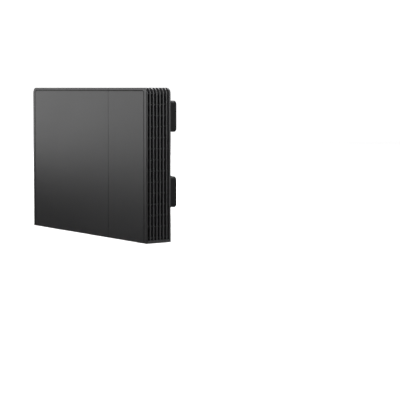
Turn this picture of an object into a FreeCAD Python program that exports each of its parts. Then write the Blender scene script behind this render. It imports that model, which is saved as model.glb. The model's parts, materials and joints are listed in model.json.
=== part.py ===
import FreeCAD, Part
import math
import os
import re

import Sketcher

# A slim mini PC in a flat, wide case that hangs on a rear bracket. All lengths are in millimetres.
# +Z is up, -Y is the broad visible face and +X is the port side. The origin is the middle of the foot.

V = FreeCAD.Vector
doc = FreeCAD.newDocument("mini_pc")
sheet = doc.addObject("Spreadsheet::Sheet", "Sizes")

SIZES = {
    # case
    "case_width": 288.0,
    "case_height": 196.0,
    "shell_depth": 37.0,
    "bracket_depth": 16.0,
    "corner_radius": 7.2,
    "face_thickness": 2.0,
    "edge_round": 0.7,
    "seam_x": 55.0,
    "seam_gap": 0.5,
    "groove_side": 5.4,
    "groove_top": 3.0,
    "groove_width": 1.2,
    "groove_depth": 1.1,
    "body_gap": 0.3,
    # ribbed walls
    "wall_depth": 6.0,
    "rib_thickness": 1.6,
    "rib_pitch": 5.0,
    "rib_count": 6,
    "first_rib": 5.9,
    "rear_rim": 2.6,
    "bar_pitch": 14.0,
    "bar_thickness": 1.4,
    "bar_recess": 2.2,
    "side_bar_count": 14,
    "frame_recess": 1.6,
    "frame_thickness": 1.0,
    "foot_strip": 3.5,
    "end_recess": 0.6,
    # hooks of the port cover
    "hook_width": 10.0,
    "hook_reach": 3.6,
    "hook_thickness": 1.2,
    "hook_arm": 1.4,
    "hook_low": 9.0,
    "hook_low_tip": 5.4,
    "hook_high": 184.2,
    "hook_high_tip": 187.6,
    # chassis
    "tray_thickness": 2.0,
    "panel_thickness": 2.5,
    "plate_x": 50.0,
    "plate_thickness": 1.2,
    "boss_radius": 5.0,
    "boss_height": 4.0,
    "tapped_radius": 1.75,
    "vent_width": 3.0,
    "vent_length": 34.0,
    "vent_pitch": 7.0,
    "foot_vent_length": 18.0,
    "foot_vent_pitch": 6.0,
    "tie_left": 96.0,
    "tie_length": 12.0,
    "tie_width": 3.4,
    "rail_thickness": 1.6,
    "rail_low": 6.0,
    "post_radius": 3.5,
    "peg_radius": 1.9,
    "peg_length": 16.0,
    "post_length": 26.0,
    "post_left_x": -130.0,
    "post_right_x": 44.0,
    "post_low": 9.0,
    "post_low_right": 30.0,
    "post_high": 181.0,
    "post_high_right": 173.5,
    # bracket
    "arm_height": 40.0,
    "arm_low": 42.5,
    "arm_high": 139.5,
    "arm_inset": 10.0,
    "arm_thickness": 3.0,
    "arm_foot": 18.0,
    "arm_round": 5.0,
    "web_width": 64.0,
    "vesa_large": 100.0,
    "vesa_small": 75.0,
    "vesa_height": 111.0,
    "vesa_hole": 2.25,
    "bracket_screw_inset": 12.5,
    "access_radius": 4.5,
    "clearance_radius": 2.2,
    "web_thickness": 2.5,
    "web_inset": 4.0,
    "window_width": 36.0,
    "window_height": 44.0,
    # board
    "board_left": -118.0,
    "board_right": 49.0,
    "board_low": 8.0,
    "board_top": 180.0,
    "board_thickness": 1.6,
    "standoff_height": 5.0,
    # memory, in its two stepped sockets
    "memory_left": -7.0,
    "memory_right": 23.0,
    "memory_low": 13.0,
    "memory_high": 82.6,
    "memory_thickness": 1.2,
    "socket_ear": 2.0,
    # solid state drive and wireless card
    "ssd_left": -54.0,
    "ssd_right": 26.0,
    "ssd_low": 86.8,
    "ssd_high": 108.8,
    "ssd_lift": 3.0,
    "card_left": 10.5,
    "card_right": 32.5,
    "card_low": 122.0,
    "card_high": 152.0,
    "card_lift": 3.2,
    "card_thickness": 0.8,
    # aerials and leads
    "film_thickness": 1.6,
    "left_tap_x": 14.5,
    "right_tap_x": 28.5,
    "tap_z": 149.0,
    "lead_hole_z": 183.4,
    # small parts on the board
    "cell_x": -62.0,
    "cell_z": 54.0,
    "cell_radius": 10.0,
    "choke_z": 175.0,
    # cooler
    "blower_x": -84.0,
    "blower_z": 134.0,
    "blower_size": 76.0,
    "blower_depth": 16.0,
    "blower_lift": 6.7,
    "rotor_radius": 30.0,
    "rotor_depth": 11.0,
    "hub_radius": 13.0,
    "blade_count": 29,
    "cpu_x": -16.0,
    "cpu_z": 140.0,
    "cold_plate": 48.0,
    "pipe_width": 7.0,
    "pipe_thickness": 3.0,
    "ear_reach": 26.0,
    "fin_top": 188.0,
    "fin_pitch": 2.0,
    "fin_count": 36,
    "fin_thickness": 0.4,
    # drive bay
    "drive_left": -110.0,
    "drive_low": 14.2,
    "drive_length": 100.0,
    "drive_width": 69.85,
    "drive_height": 7.0,
    "drive_front": -21.0,
    "caddy_wall": 2.3,
    "caddy_floor": 1.5,
    "caddy_pull": 4.0,
    "cradle_left": -112.0,
    "cradle_right": -2.0,
    "cradle_low": 10.4,
    "cradle_high": 87.85,
    "cradle_sheet": 1.0,
    "riser_x": -115.0,
    # speaker
    "speaker_left": -136.0,
    "speaker_right": -123.0,
    "speaker_low": 15.0,
    "speaker_high": 55.0,
    "speaker_depth": 12.0,
    # bottom controls
    "button_x": -108.0,
    "button_y": -5.0,
    "button_radius": 5.7,
    "light_x": -96.0,
    "latch_x": 61.0,
    "latch_y": -12.0,
    "latch_travel": 5.0,
    # sockets that open downwards
    "usb_a_x": -77.5,
    "usb_a_half": 6.5,
    "usb_c_x": -58.1,
    "usb_c_half": 4.5,
    "jack_x": -42.0,
    "jack_lift": 3.2,
    "jack_radius": 3.0,
    "jack_bore": 1.8,
    "socket_low": 0.8,
    # cable outlet
    "outlet_x": 102.0,
    "outlet_y": -8.0,
    "outlet_width": 52.0,
    "outlet_depth": 20.0,
    "comb_left": 94.0,
    "comb_right": 110.0,
    "comb_low": 78.0,
    "comb_high": 125.0,
}

for row, (alias, value) in enumerate(SIZES.items(), 1):
    sheet.set(f"A{row}", alias)
    sheet.set(f"B{row}", str(value))
    sheet.setAlias(f"B{row}", alias)
doc.recompute()

ALIAS = re.compile(r"\b(" + "|".join(sorted(SIZES, key=len, reverse=True)) + r")\b")
SUBPARTS = []

# Planes and edges that several sub-parts share, as expressions of the sheet's cells.
FRONT = "(-(shell_depth + bracket_depth) / 2)"
FACE_BACK = f"({FRONT} + face_thickness)"
BACK = f"({FRONT} + shell_depth)"
REAR = f"({BACK} + bracket_depth)"
TRAY = f"({BACK} - tray_thickness)"
BOARD_BACK = f"({TRAY} - standoff_height)"
BOARD = f"({BOARD_BACK} - board_thickness)"
CEILING = "(case_height - wall_depth)"
UNDER = f"({BOARD} - 1.1)"
SEAM_LEFT = "(seam_x - seam_gap / 2)"
SEAM_RIGHT = "(seam_x + seam_gap / 2)"
PLATE_OUT = "(plate_x + plate_thickness)"


def ref(text):
    """An expression with each alias written as a cell of the sheet."""
    return ALIAS.sub(lambda found: "Sizes." + found.group(0), str(text))


def number(text):
    """The present value of an expression."""
    value = sheet.evalExpression(ref(text))
    return float(getattr(value, "Value", value))


def bind(thing, name, text):
    thing.setExpression(name, ref(text))


def keep(label, thing):
    """Marks a document object as a sub-part, and gives it the name of its node."""
    thing.Label = label
    SUBPARTS.append(thing)
    return thing


def around(middle, half):
    """The two ends of a span about its middle."""
    return f"({middle}) - ({half})", f"({middle}) + ({half})"


# ---------------------------------------------------------------- primitives


def block(x, y, z, name="block"):
    """A box between two expressions along each axis."""
    box = doc.addObject("Part::Box", name)
    for side, (low, high), axis in (("Length", x, "x"), ("Width", y, "y"), ("Height", z, "z")):
        bind(box, side, f"({high}) - ({low})")
        bind(box, f"Placement.Base.{axis}", low)
    return box


TURNS = {
    "x": FreeCAD.Rotation(V(0, 1, 0), 90),
    "y": FreeCAD.Rotation(V(1, 0, 0), -90),
    "z": FreeCAD.Rotation(),
}


def rod(axis, centre, radius, span, name="rod"):
    """A cylinder along an axis. centre holds the other two coordinates, and span its two ends."""
    cylinder = doc.addObject("Part::Cylinder", name)
    cylinder.Placement = FreeCAD.Placement(V(), TURNS[axis])
    across = [other for other in "xyz" if other != axis]
    bind(cylinder, "Radius", radius)
    bind(cylinder, "Height", f"({span[1]}) - ({span[0]})")
    bind(cylinder, f"Placement.Base.{axis}", span[0])
    for other, place in zip(across, centre):
        bind(cylinder, f"Placement.Base.{other}", place)
    return cylinder


def hex_rod(axis, centre, radius, span):
    """A hexagonal prism along an axis, radius to its corners."""
    prism = doc.addObject("Part::Prism", "hex")
    prism.Polygon = 6
    prism.Placement = FreeCAD.Placement(V(), TURNS[axis])
    bind(prism, "Circumradius", radius)
    bind(prism, "Height", f"({span[1]}) - ({span[0]})")
    bind(prism, f"Placement.Base.{axis}", span[0])
    for other, place in zip([other for other in "xyz" if other != axis], centre):
        bind(prism, f"Placement.Base.{other}", place)
    return prism


def join(shapes):
    if len(shapes) == 1:
        return shapes[0]
    fused = doc.addObject("Part::MultiFuse", "join")
    fused.Shapes = shapes
    fused.Refine = True
    return fused


def carve(base, tools):
    cut = doc.addObject("Part::Cut", "cut")
    cut.Base = base
    cut.Tool = join(tools)
    cut.Refine = True
    return cut


def group(shapes):
    """Separate solids in one node."""
    compound = doc.addObject("Part::Compound", "group")
    compound.Links = shapes
    return compound


def soften(base, radius, wanted):
    """Rounds the straight edges for which wanted(edge) is true."""
    doc.recompute()
    edges = [n for n, edge in enumerate(base.Shape.Edges, 1) if wanted(edge)]
    fillet = doc.addObject("Part::Fillet", "soft")
    fillet.Base = base
    fillet.Edges = [(n, radius, radius) for n in edges]
    return fillet


def runs_along(axis):
    """Picks the straight edges that run along an axis."""
    unit = {"x": V(1, 0, 0), "y": V(0, 1, 0), "z": V(0, 0, 1)}[axis]

    def picked(edge):
        if edge.Curve.TypeId != "Part::GeomLine":
            return False
        way = edge.Vertexes[1].Point - edge.Vertexes[0].Point
        return abs(way.normalize().dot(unit)) > 0.999

    return picked


def screw(axis, centre, under_head, length, toward, shank="1.5", head="2.8", head_height="1.8"):
    """A socket head screw. toward is +1 or -1, the way the shank runs from under the head."""
    tip = f"({under_head}) + ({toward}) * ({length})"
    top = f"({under_head}) - ({toward}) * ({head_height})"
    socket = f"({top}) + ({toward}) * ({head_height}) * 0.6"
    order = (lambda a, b: (a, b)) if toward > 0 else (lambda a, b: (b, a))
    solid = join(
        [
            rod(axis, centre, shank, order(under_head, tip)),
            rod(axis, centre, head, order(top, under_head)),
        ]
    )
    return carve(solid, [hex_rod(axis, centre, f"({head}) * 0.5", order(top, socket))])


# ---------------------------------------------------------------- sketches and features


def origin(body, role):
    return next(o for o in body.Origin.OriginFeatures if o.Role == role)


def new_body(name):
    return doc.addObject("PartDesign::Body", name)


def sketch(body, plane, level):
    """A sketch on one of the body's own planes, moved along that plane's normal."""
    made = body.newObject("Sketcher::SketchObject", "sketch")
    made.AttachmentSupport = [(origin(body, plane), "")]
    made.MapMode = "FlatFace"
    bind(made, "AttachmentOffset.Base.z", level)
    return made


def front_sketch(body, y):
    """A sketch seen from the front: its x is X and its y is Z, and its normal is -Y."""
    return sketch(body, "XZ_Plane", f"-({y})")


def side_sketch(body, x):
    """A sketch whose x is Y and whose y is Z, with normal +X."""
    return sketch(body, "YZ_Plane", x)


def plan_sketch(body, z):
    """A sketch whose x is X and whose y is Y, with normal +Z."""
    return sketch(body, "XY_Plane", z)


def pin(made, geometry, end, x, y):
    """Holds a point of a sketch at two expressions."""
    for kind, axis, text in (("DistanceX", -2, x), ("DistanceY", -1, y)):
        value = number(text)
        if abs(value) < 1e-9:
            made.addConstraint(Sketcher.Constraint("PointOnObject", geometry, end, axis))
            continue
        index = made.addConstraint(Sketcher.Constraint(kind, -1, 1, geometry, end, value))
        bind(made, f"Constraints[{index}]", text)


def outline(made, corners):
    """A closed outline. Each corner is (x, y), or (x, y, radius, turn) when an arc leads to it.

    turn is +1 for an arc that runs anticlockwise and -1 for one that runs clockwise.
    """
    points = [V(number(corner[0]), number(corner[1]), 0) for corner in corners]
    ends = []
    for index, corner in enumerate(corners):
        start, finish = points[index - 1], points[index]
        if len(corner) == 2:
            ends.append((made.addGeometry(Part.LineSegment(start, finish)), 1, 2))
            continue
        radius, turn = number(corner[2]), corner[3]
        chord = finish - start
        across = V(-chord.y, chord.x, 0)
        across.normalize()
        rise = math.sqrt(max(radius**2 - (chord.Length / 2) ** 2, 0)) * turn
        centre = (start + finish) * 0.5 + across * rise
        angles = [math.atan2(p.y - centre.y, p.x - centre.x) for p in (start, finish)]
        circle = Part.Circle(centre, V(0, 0, 1), radius)
        geometry = made.addGeometry(Part.ArcOfCircle(circle, *angles[::turn]))
        fixed = made.addConstraint(Sketcher.Constraint("Radius", geometry, radius))
        bind(made, f"Constraints[{fixed}]", corner[2])
        ends.append((geometry, 1, 2) if turn > 0 else (geometry, 2, 1))
    for index, corner in enumerate(corners):
        geometry, _, finish = ends[index]
        following, start, _ = ends[(index + 1) % len(ends)]
        made.addConstraint(Sketcher.Constraint("Coincident", geometry, finish, following, start))
        pin(made, geometry, finish, corner[0], corner[1])


def rectangle(made, x, y):
    outline(made, [(x[0], y[0]), (x[1], y[0]), (x[1], y[1]), (x[0], y[1])])


def slot(made, x, y, r):
    """A rectangle with rounded corners of radius r."""
    (x0, x1), (y0, y1) = x, y
    outline(
        made,
        [
            (f"({x0}) + {r}", y0, r, 1),
            (f"({x1}) - {r}", y0),
            (x1, f"({y0}) + {r}", r, 1),
            (x1, f"({y1}) - {r}"),
            (f"({x1}) - {r}", y1, r, 1),
            (f"({x0}) + {r}", y1),
            (x0, f"({y1}) - {r}", r, 1),
            (x0, f"({y0}) + {r}"),
        ],
    )


def circle(made, x, y, radius):
    value = number(radius)
    geometry = made.addGeometry(Part.Circle(V(number(x), number(y), 0), V(0, 0, 1), value))
    fixed = made.addConstraint(Sketcher.Constraint("Radius", geometry, value))
    bind(made, f"Constraints[{fixed}]", radius)
    pin(made, geometry, 3, x, y)


def pad(body, profile, length, backward=False):
    """Adds material from the sketch along its normal, or against it."""
    feature = body.newObject("PartDesign::Pad", "pad")
    feature.Profile = profile
    feature.Reversed = backward
    bind(feature, "Length", length)
    body.Tip = feature
    return feature


def pocket(body, profile, length, forward=False):
    """Removes material against the sketch's normal, or along it, and checks that some went."""
    doc.recompute()
    before = body.Shape.Volume
    feature = body.newObject("PartDesign::Pocket", "pocket")
    feature.Profile = profile
    feature.Reversed = forward
    bind(feature, "Length", length)
    body.Tip = feature
    doc.recompute()
    if not body.Shape.Volume < before - 1e-3:
        raise RuntimeError(f"a pocket of {body.Label} cuts nothing")
    return feature


def repeat(body, feature, axis, pitch, count, backward=False):
    """Repeats a feature along one of the body's axes."""
    pattern = body.newObject("PartDesign::LinearPattern", "pattern")
    pattern.Originals = [feature]
    pattern.Direction = (origin(body, f"{axis}_Axis"), [""])
    pattern.Reversed = backward
    bind(pattern, "Length", f"({pitch}) * (({count}) - 1)")
    bind(pattern, "Occurrences", count)
    body.Tip = pattern
    return pattern


def round_body(body, radius, wanted):
    """Fillets the edges of the body for which wanted(edge) is true."""
    doc.recompute()
    base = body.Tip
    names = [f"Edge{n}" for n, edge in enumerate(base.Shape.Edges, 1) if wanted(edge)]
    fillet = body.newObject("PartDesign::Fillet", "fillet")
    fillet.Base = (base, names)
    bind(fillet, "Radius", radius)
    body.Tip = fillet
    return fillet


# ---------------------------------------------------------------- covers


def mirrored(side, text):
    """An X expression on the left (side -1) or right (side +1) half."""
    return f"({side}) * ({text})"


def cover_face(side, seam):
    """A flat cover with a rounded top outer corner and a groove set in from its outer edges."""
    body = new_body("cover")
    edge = mirrored(side, "case_width / 2")
    shoulder = mirrored(side, "case_width / 2 - corner_radius")
    profile = front_sketch(body, FACE_BACK)
    turn = side
    corners = [(seam, "0"), (edge, "0"), (edge, "case_height - corner_radius")]
    corners += [(shoulder, "case_height", "corner_radius", turn), (seam, "case_height")]
    outline(profile, corners)
    pad(body, profile, "face_thickness")

    front = number(FRONT)
    reach = number("case_width / 2") - 1e-3

    def outer_front(edge_found):
        box = edge_found.BoundBox
        on_face = abs(box.YMin - front) < 1e-6 and abs(box.YMax - front) < 1e-6
        on_seam = box.XLength < 1e-6 and abs(box.XMin) < reach
        return on_face and not on_seam and box.ZMax > 1e-3

    round_body(body, "edge_round", outer_front)

    groove_out = mirrored(side, "case_width / 2 - groove_side")
    groove_in = mirrored(side, "case_width / 2 - groove_side - groove_width")
    bend_out = "(corner_radius - groove_top)"
    bend_in = "(corner_radius - groove_top - groove_width)"
    bend_x = mirrored(side, f"case_width / 2 - groove_side - {bend_out}")
    bend_z = f"(case_height - groove_top - {bend_out})"
    ledge = "(case_height - groove_top)"
    groove = front_sketch(body, FRONT)
    outline(
        groove,
        [
            (groove_out, "0"),
            (groove_out, bend_z),
            (bend_x, ledge, bend_out, turn),
            (seam, ledge),
            (seam, f"{ledge} - groove_width"),
            (bend_x, f"{ledge} - groove_width"),
            (groove_in, bend_z, bend_in, -turn),
            (groove_in, "0"),
        ],
    )
    pocket(body, groove, "groove_depth")
    return body


def add_pegs(body):
    """Four pegs on the back of the main cover, which the tray's hollow posts hold."""
    for x, z in POST_PLACES:
        profile = front_sketch(body, FACE_BACK)
        circle(profile, x, z, "peg_radius")
        pad(body, profile, "peg_length", backward=True)


def add_hooks(body):
    """Four hooks on the back of the port cover, which run behind the bay's rails."""
    for left in HOOK_LEFTS:
        across = (f"{left}", f"{left} + hook_width")
        for low, tip_span in HOOK_ROWS:
            arm = front_sketch(body, FACE_BACK)
            rectangle(arm, across, (low, f"{low} + hook_arm"))
            pad(body, arm, "hook_reach", backward=True)
            tip = front_sketch(body, f"{FACE_BACK} + hook_reach - hook_thickness")
            rectangle(tip, across, tip_span)
            pad(body, tip, "hook_thickness", backward=True)


HOOK_LEFTS = (68, 112)
HOOK_ROWS = [
    ("hook_low", ("hook_low_tip", "hook_low + hook_arm")),
    ("hook_high", ("hook_high", "hook_high_tip")),
]
POST_PLACES = [
    ("post_left_x", "post_low"),
    ("post_left_x", "post_high"),
    ("post_right_x", "post_low_right"),
    ("post_right_x", "post_high_right"),
]

main_cover = cover_face(-1, SEAM_LEFT)
add_pegs(main_cover)
keep("main_cover", main_cover)

port_cover = cover_face(1, SEAM_RIGHT)
add_hooks(port_cover)
keep("port_cover", port_cover)


# ---------------------------------------------------------------- ribbed walls

WALL_LENGTH = f"({BACK} - {FACE_BACK})"
RIB_BACK = f"({FRONT} + first_rib + rib_thickness / 2)"


def side_band(made, side, inset):
    """The upright band of a side wall with its rounded top corner, from inset to the wall's full depth."""
    outer = mirrored(side, f"case_width / 2 - ({inset})")
    inner = mirrored(side, "case_width / 2 - wall_depth")
    shoulder = mirrored(side, "case_width / 2 - corner_radius")
    corner = "(case_height - corner_radius)"
    outline(
        made,
        [
            (inner, "0"),
            (outer, "0"),
            (outer, corner),
            (shoulder, f"case_height - ({inset})", f"(corner_radius - ({inset}))", side),
            (shoulder, "case_height - wall_depth"),
            (inner, corner, "(corner_radius - wall_depth)", -side),
        ],
    )


def side_grille(side):
    """A side wall of ribs, with recessed cross-bars and a closed strip at its foot."""
    body = new_body("side_grille")
    strip = front_sketch(body, BACK)
    edges = (mirrored(side, "case_width / 2"), mirrored(side, "case_width / 2 - wall_depth"))
    rectangle(strip, edges, ("0", "foot_strip"))
    pad(body, strip, WALL_LENGTH)
    frame = front_sketch(body, FACE_BACK)
    side_band(frame, side, "frame_recess")
    pad(body, frame, "frame_thickness", backward=True)
    bar = front_sketch(body, BACK)
    bar_edges = (
        mirrored(side, "case_width / 2 - bar_recess"),
        mirrored(side, "case_width / 2 - wall_depth"),
    )
    rectangle(bar, bar_edges, ("(bar_pitch - bar_thickness) / 2", "(bar_pitch + bar_thickness) / 2"))
    repeat(body, pad(body, bar, WALL_LENGTH), "Z", "bar_pitch", "side_bar_count")
    rib = front_sketch(body, RIB_BACK)
    side_band(rib, side, "0")
    repeat(body, pad(body, rib, "rib_thickness"), "Y", "rib_pitch", "rib_count")
    rim = front_sketch(body, BACK)
    side_band(rim, side, "0")
    pad(body, rim, "rear_rim")
    return body


def top_grille(side, seam, bars):
    """A top wall of ribs between the rounded corner and the seam."""
    body = new_body("top_grille")
    shoulder = mirrored(side, "case_width / 2 - corner_radius")
    end = front_sketch(body, BACK)
    rectangle(end, (seam, f"{seam} + ({side}) * bar_thickness"), (CEILING, "case_height - end_recess"))
    pad(body, end, WALL_LENGTH)
    frame = front_sketch(body, FACE_BACK)
    rectangle(frame, (shoulder, seam), (CEILING, "case_height - frame_recess"))
    pad(body, frame, "frame_thickness", backward=True)
    bar = front_sketch(body, BACK)
    first = f"({shoulder} - ({side}) * wall_depth)"
    middle = (f"{first} - bar_thickness / 2", f"{first} + bar_thickness / 2")
    rectangle(bar, middle, (CEILING, "case_height - bar_recess"))
    repeat(body, pad(body, bar, WALL_LENGTH), "X", "bar_pitch", bars, backward=side > 0)
    rib = front_sketch(body, RIB_BACK)
    rectangle(rib, (shoulder, seam), (CEILING, "case_height"))
    repeat(body, pad(body, rib, "rib_thickness"), "Y", "rib_pitch", "rib_count")
    rim = front_sketch(body, BACK)
    rectangle(rim, (shoulder, seam), (CEILING, "case_height"))
    pad(body, rim, "rear_rim")
    return body


keep("main_grille_side", side_grille(-1))
keep("main_grille_top", top_grille(-1, SEAM_LEFT, "13"))
keep("port_grille_side", side_grille(1))
keep("port_grille_top", top_grille(1, SEAM_RIGHT, "6"))


# ---------------------------------------------------------------- chassis

TRAY_EDGE = "(case_width / 2 - wall_depth - body_gap)"
TRAY_TOP = "(case_height - wall_depth - body_gap)"
FOOT_HEIGHTS = ("arm_low + arm_height / 2", "arm_high + arm_height / 2")
SCREW_X = "(case_width / 2 - arm_inset - bracket_screw_inset)"
PANEL_FRONT = f"({FACE_BACK} + body_gap)"

# Vent slots of the tray: how many, and the first one's low corner. One field is behind the blower.
VENT_FIELDS = [("8", "blower_x - 26", "blower_z - 16"), ("6", "-84", "34")]
VENT_BEND = "(vent_width / 2 - 0.01)"
TIE_HEIGHTS = ("80", "120")


def rear_tray():
    """The flat back, with bosses for the bracket's screws and a field of vent slots behind the blower."""
    body = new_body("tray")
    profile = front_sketch(body, BACK)
    bend = "(corner_radius - wall_depth - body_gap)"
    outline(
        profile,
        [
            (f"-{TRAY_EDGE}", "0"),
            (TRAY_EDGE, "0"),
            (TRAY_EDGE, f"{TRAY_TOP} - {bend}"),
            (f"{TRAY_EDGE} - {bend}", TRAY_TOP, bend, 1),
            (f"-{TRAY_EDGE} + {bend}", TRAY_TOP),
            (f"-{TRAY_EDGE}", f"{TRAY_TOP} - {bend}", bend, 1),
        ],
    )
    pad(body, profile, "tray_thickness")
    for x in (f"-{SCREW_X}", SCREW_X):
        for z in FOOT_HEIGHTS:
            boss = front_sketch(body, TRAY)
            circle(boss, x, z, "boss_radius")
            pad(body, boss, "boss_height")
            hole = front_sketch(body, f"{TRAY} - boss_height")
            circle(hole, x, z, "tapped_radius")
            pocket(body, hole, "tray_thickness + boss_height")
    for count, x, z in VENT_FIELDS:
        vent = front_sketch(body, TRAY)
        slot(vent, (x, f"({x}) + vent_width"), (z, f"({z}) + vent_length"), VENT_BEND)
        repeat(body, pocket(body, vent, "tray_thickness"), "X", "vent_pitch", count)
    for z in TIE_HEIGHTS:
        tie = front_sketch(body, TRAY)
        slot(tie, ("tie_left", "tie_left + tie_length"), (z, f"{z} + tie_width"), "(tie_width / 2 - 0.01)")
        pocket(body, tie, "tray_thickness")
    return body


def bottom_panel():
    """The underside: openings for the button, light, sockets, latch and cables, and vent slots."""
    body = new_body("bottom")
    profile = plan_sketch(body, "0")
    rectangle(profile, (f"-{TRAY_EDGE}", TRAY_EDGE), (PANEL_FRONT, TRAY))
    pad(body, profile, "panel_thickness")
    rail = plan_sketch(body, "panel_thickness")
    rectangle(rail, ("seam_x + 2", TRAY_EDGE), (PANEL_FRONT, f"{PANEL_FRONT} + rail_thickness"))
    pad(body, rail, "rail_low")
    holes = plan_sketch(body, "panel_thickness")
    circle(holes, "button_x", "button_y", "button_radius + body_gap")
    circle(holes, "light_x", "button_y", "1.5")
    usb_a = around("usb_a_x", "usb_a_half + body_gap")
    slot(holes, usb_a, (f"{BOARD} - 6.4", BOARD), "0.5")
    usb_c = around("usb_c_x", "usb_c_half + 2 * body_gap")
    slot(holes, usb_c, (f"{BOARD} - 4.2", f"{BOARD} + 0.2"), "2.1")
    circle(holes, "jack_x", f"{BOARD} - jack_lift", "jack_radius + body_gap")
    latch_low, latch_high = around("latch_x", "4.4")
    slot(holes, (latch_low, f"{latch_high} + latch_travel"), around("latch_y", "2.8"), "0.6")
    slot(holes, around("outlet_x", "outlet_width / 2"), around("outlet_y", "outlet_depth / 2"), "6")
    pocket(body, holes, "panel_thickness")
    vent = plan_sketch(body, "panel_thickness")
    slot(vent, ("-28", "-28 + vent_width"), ("-16", "-16 + foot_vent_length"), VENT_BEND)
    repeat(body, pocket(body, vent, "panel_thickness"), "X", "foot_vent_pitch", "12")
    return body


# Sockets on the board's right edge, as name: (middle height, half width along Z, height off the board).
EDGE_SOCKETS = {
    "power_inlet": (20, 4.6, 11.0),
    "network_jack": (44, 8.0, 13.4),
    "usb_stack_lower": (68, 7.2, 16.0),
    "usb_stack_upper": (88, 7.2, 16.0),
    "video_socket_a": (108, 7.6, 6.0),
    "video_socket_b": (128, 8.6, 6.2),
    "video_socket_c": (149, 8.6, 6.2),
    "audio_jack": (164, 3.2, 6.2),
}


def io_plate():
    """The wall between the board and the port bay, with a window for each socket."""
    body = new_body("io")
    profile = side_sketch(body, "plate_x")
    rectangle(profile, (f"{FACE_BACK} + 0.5", TRAY), ("panel_thickness", "case_height - wall_depth - 0.5"))
    pad(body, profile, "plate_thickness")
    windows = side_sketch(body, PLATE_OUT)
    for middle, half, tall in EDGE_SOCKETS.values():
        off_board = (f"{BOARD} - {tall} - 0.25", f"{BOARD} + 0.25")
        rectangle(windows, off_board, around(middle, f"{half} + 0.25"))
    circle(windows, UNDER, "lead_hole_z", "1.8")
    pocket(body, windows, "plate_thickness")
    return body


def bay_rail():
    """An angle strip across the top of the port bay that the port cover's upper hooks run behind."""
    right, top = "135", "189.4"
    strip = block((PLATE_OUT, right), (PANEL_FRONT, f"{PANEL_FRONT} + rail_thickness"), ("186", top))
    leg = block((f"{right} - rail_thickness", right), (PANEL_FRONT, TRAY), ("188.1", top))
    return join([strip, leg])


def cover_posts():
    """Hollow posts on the tray that take the main cover's pegs."""
    front = f"({TRAY} - post_length)"
    posts = []
    for x, z in POST_PLACES:
        tube = rod("y", (x, z), "post_radius", (front, TRAY))
        bore = rod("y", (x, z), "peg_radius + 0.35", (front, f"{front} + post_length - 5"))
        posts.append(carve(tube, [bore]))
    return group(posts)


keep("rear_tray", rear_tray())
keep("bottom_panel", bottom_panel())
keep("io_plate", io_plate())
keep("bay_rail", bay_rail())
keep("cover_posts", cover_posts())


# ---------------------------------------------------------------- rear bracket

ARM_END = "(case_width / 2 - arm_inset)"
ARM_FACE = f"({REAR} - arm_thickness)"


def bracket_arm(low):
    """A pressed arm: a plate, two end walls that reach the tray, and two feet that are screwed to it."""
    body = new_body("arm")
    high = f"({low} + arm_height)"
    plate = front_sketch(body, REAR)
    slot(plate, (f"-{ARM_END}", ARM_END), (low, high), "arm_round")
    pad(body, plate, "bracket_depth")
    hollow = plan_sketch(body, high)
    inner = f"({ARM_END} - arm_thickness)"
    foot = f"({ARM_END} - arm_foot)"
    foot_face = f"({BACK} + arm_thickness)"
    outline(
        hollow,
        [
            (f"-{inner}", foot_face),
            (f"-{foot}", foot_face),
            (f"-{foot}", BACK),
            (foot, BACK),
            (foot, foot_face),
            (inner, foot_face),
            (inner, ARM_FACE),
            (f"-{inner}", ARM_FACE),
        ],
    )
    pocket(body, hollow, "arm_height")
    middle = f"{low} + arm_height / 2"
    for x in (f"-{SCREW_X}", SCREW_X):
        access = front_sketch(body, ARM_FACE)
        circle(access, x, middle, "access_radius")
        pocket(body, access, "arm_thickness")
        hole = front_sketch(body, BACK)
        circle(hole, x, middle, "clearance_radius")
        pocket(body, hole, "arm_thickness")
    holes = front_sketch(body, ARM_FACE)
    upward = 1 if low == "arm_high" else -1
    for pattern in ("vesa_large", "vesa_small"):
        row = f"(vesa_height + ({upward}) * {pattern} / 2)"
        for sign in (-1, 1):
            circle(holes, f"({sign}) * {pattern} / 2", row, "vesa_hole")
    pocket(body, holes, "arm_thickness")
    return body


def bracket_web():
    """The upright plate welded across the inner faces of both arms."""
    body = new_body("web")
    profile = front_sketch(body, ARM_FACE)
    span = ("arm_low + web_inset", "arm_high + arm_height - web_inset")
    slot(profile, around("0", "web_width / 2"), span, "3")
    pad(body, profile, "web_thickness")
    window = front_sketch(body, ARM_FACE)
    slot(window, around("0", "window_width / 2"), around("vesa_height", "window_height / 2"), "8")
    pocket(body, window, "web_thickness", forward=True)
    return body


keep("bracket_arm_lower", bracket_arm("arm_low"))
keep("bracket_arm_upper", bracket_arm("arm_high"))
keep("bracket_web", bracket_web())
keep(
    "bracket_screws",
    group(
        [
            screw("y", (x, z), f"{BACK} + arm_thickness", "7.5", -1, "1.7", "3.4", "2.4")
            for x in (f"-{SCREW_X}", SCREW_X)
            for z in FOOT_HEIGHTS
        ]
    ),
)


# ---------------------------------------------------------------- controls in the bottom panel


def power_button():
    """A round cap with a retaining flange and a stem that presses the switch above it."""
    place = ("button_x", "button_y")
    cap = rod("z", place, "button_radius", ("0.6", "3.4"))
    flange = rod("z", place, "button_radius + 1.5", ("panel_thickness + body_gap", "panel_thickness + 1.4"))
    stem = rod("z", place, "2", ("3.4", "6.8"))
    dish = rod("z", place, "button_radius - 1.6", ("0.6", "0.8"))
    return carve(join([cap, flange, stem]), [dish])


def button_guide():
    """The cup over the button that keeps its flange in."""
    place = ("button_x", "button_y")
    cup = rod("z", place, "button_radius + 3.4", ("panel_thickness", "6.2"))
    inside = rod("z", place, "button_radius + 2", ("panel_thickness", "5.2"))
    throat = rod("z", place, "2.4", ("5.2", "6.2"))
    return carve(cup, [inside, throat])


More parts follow.
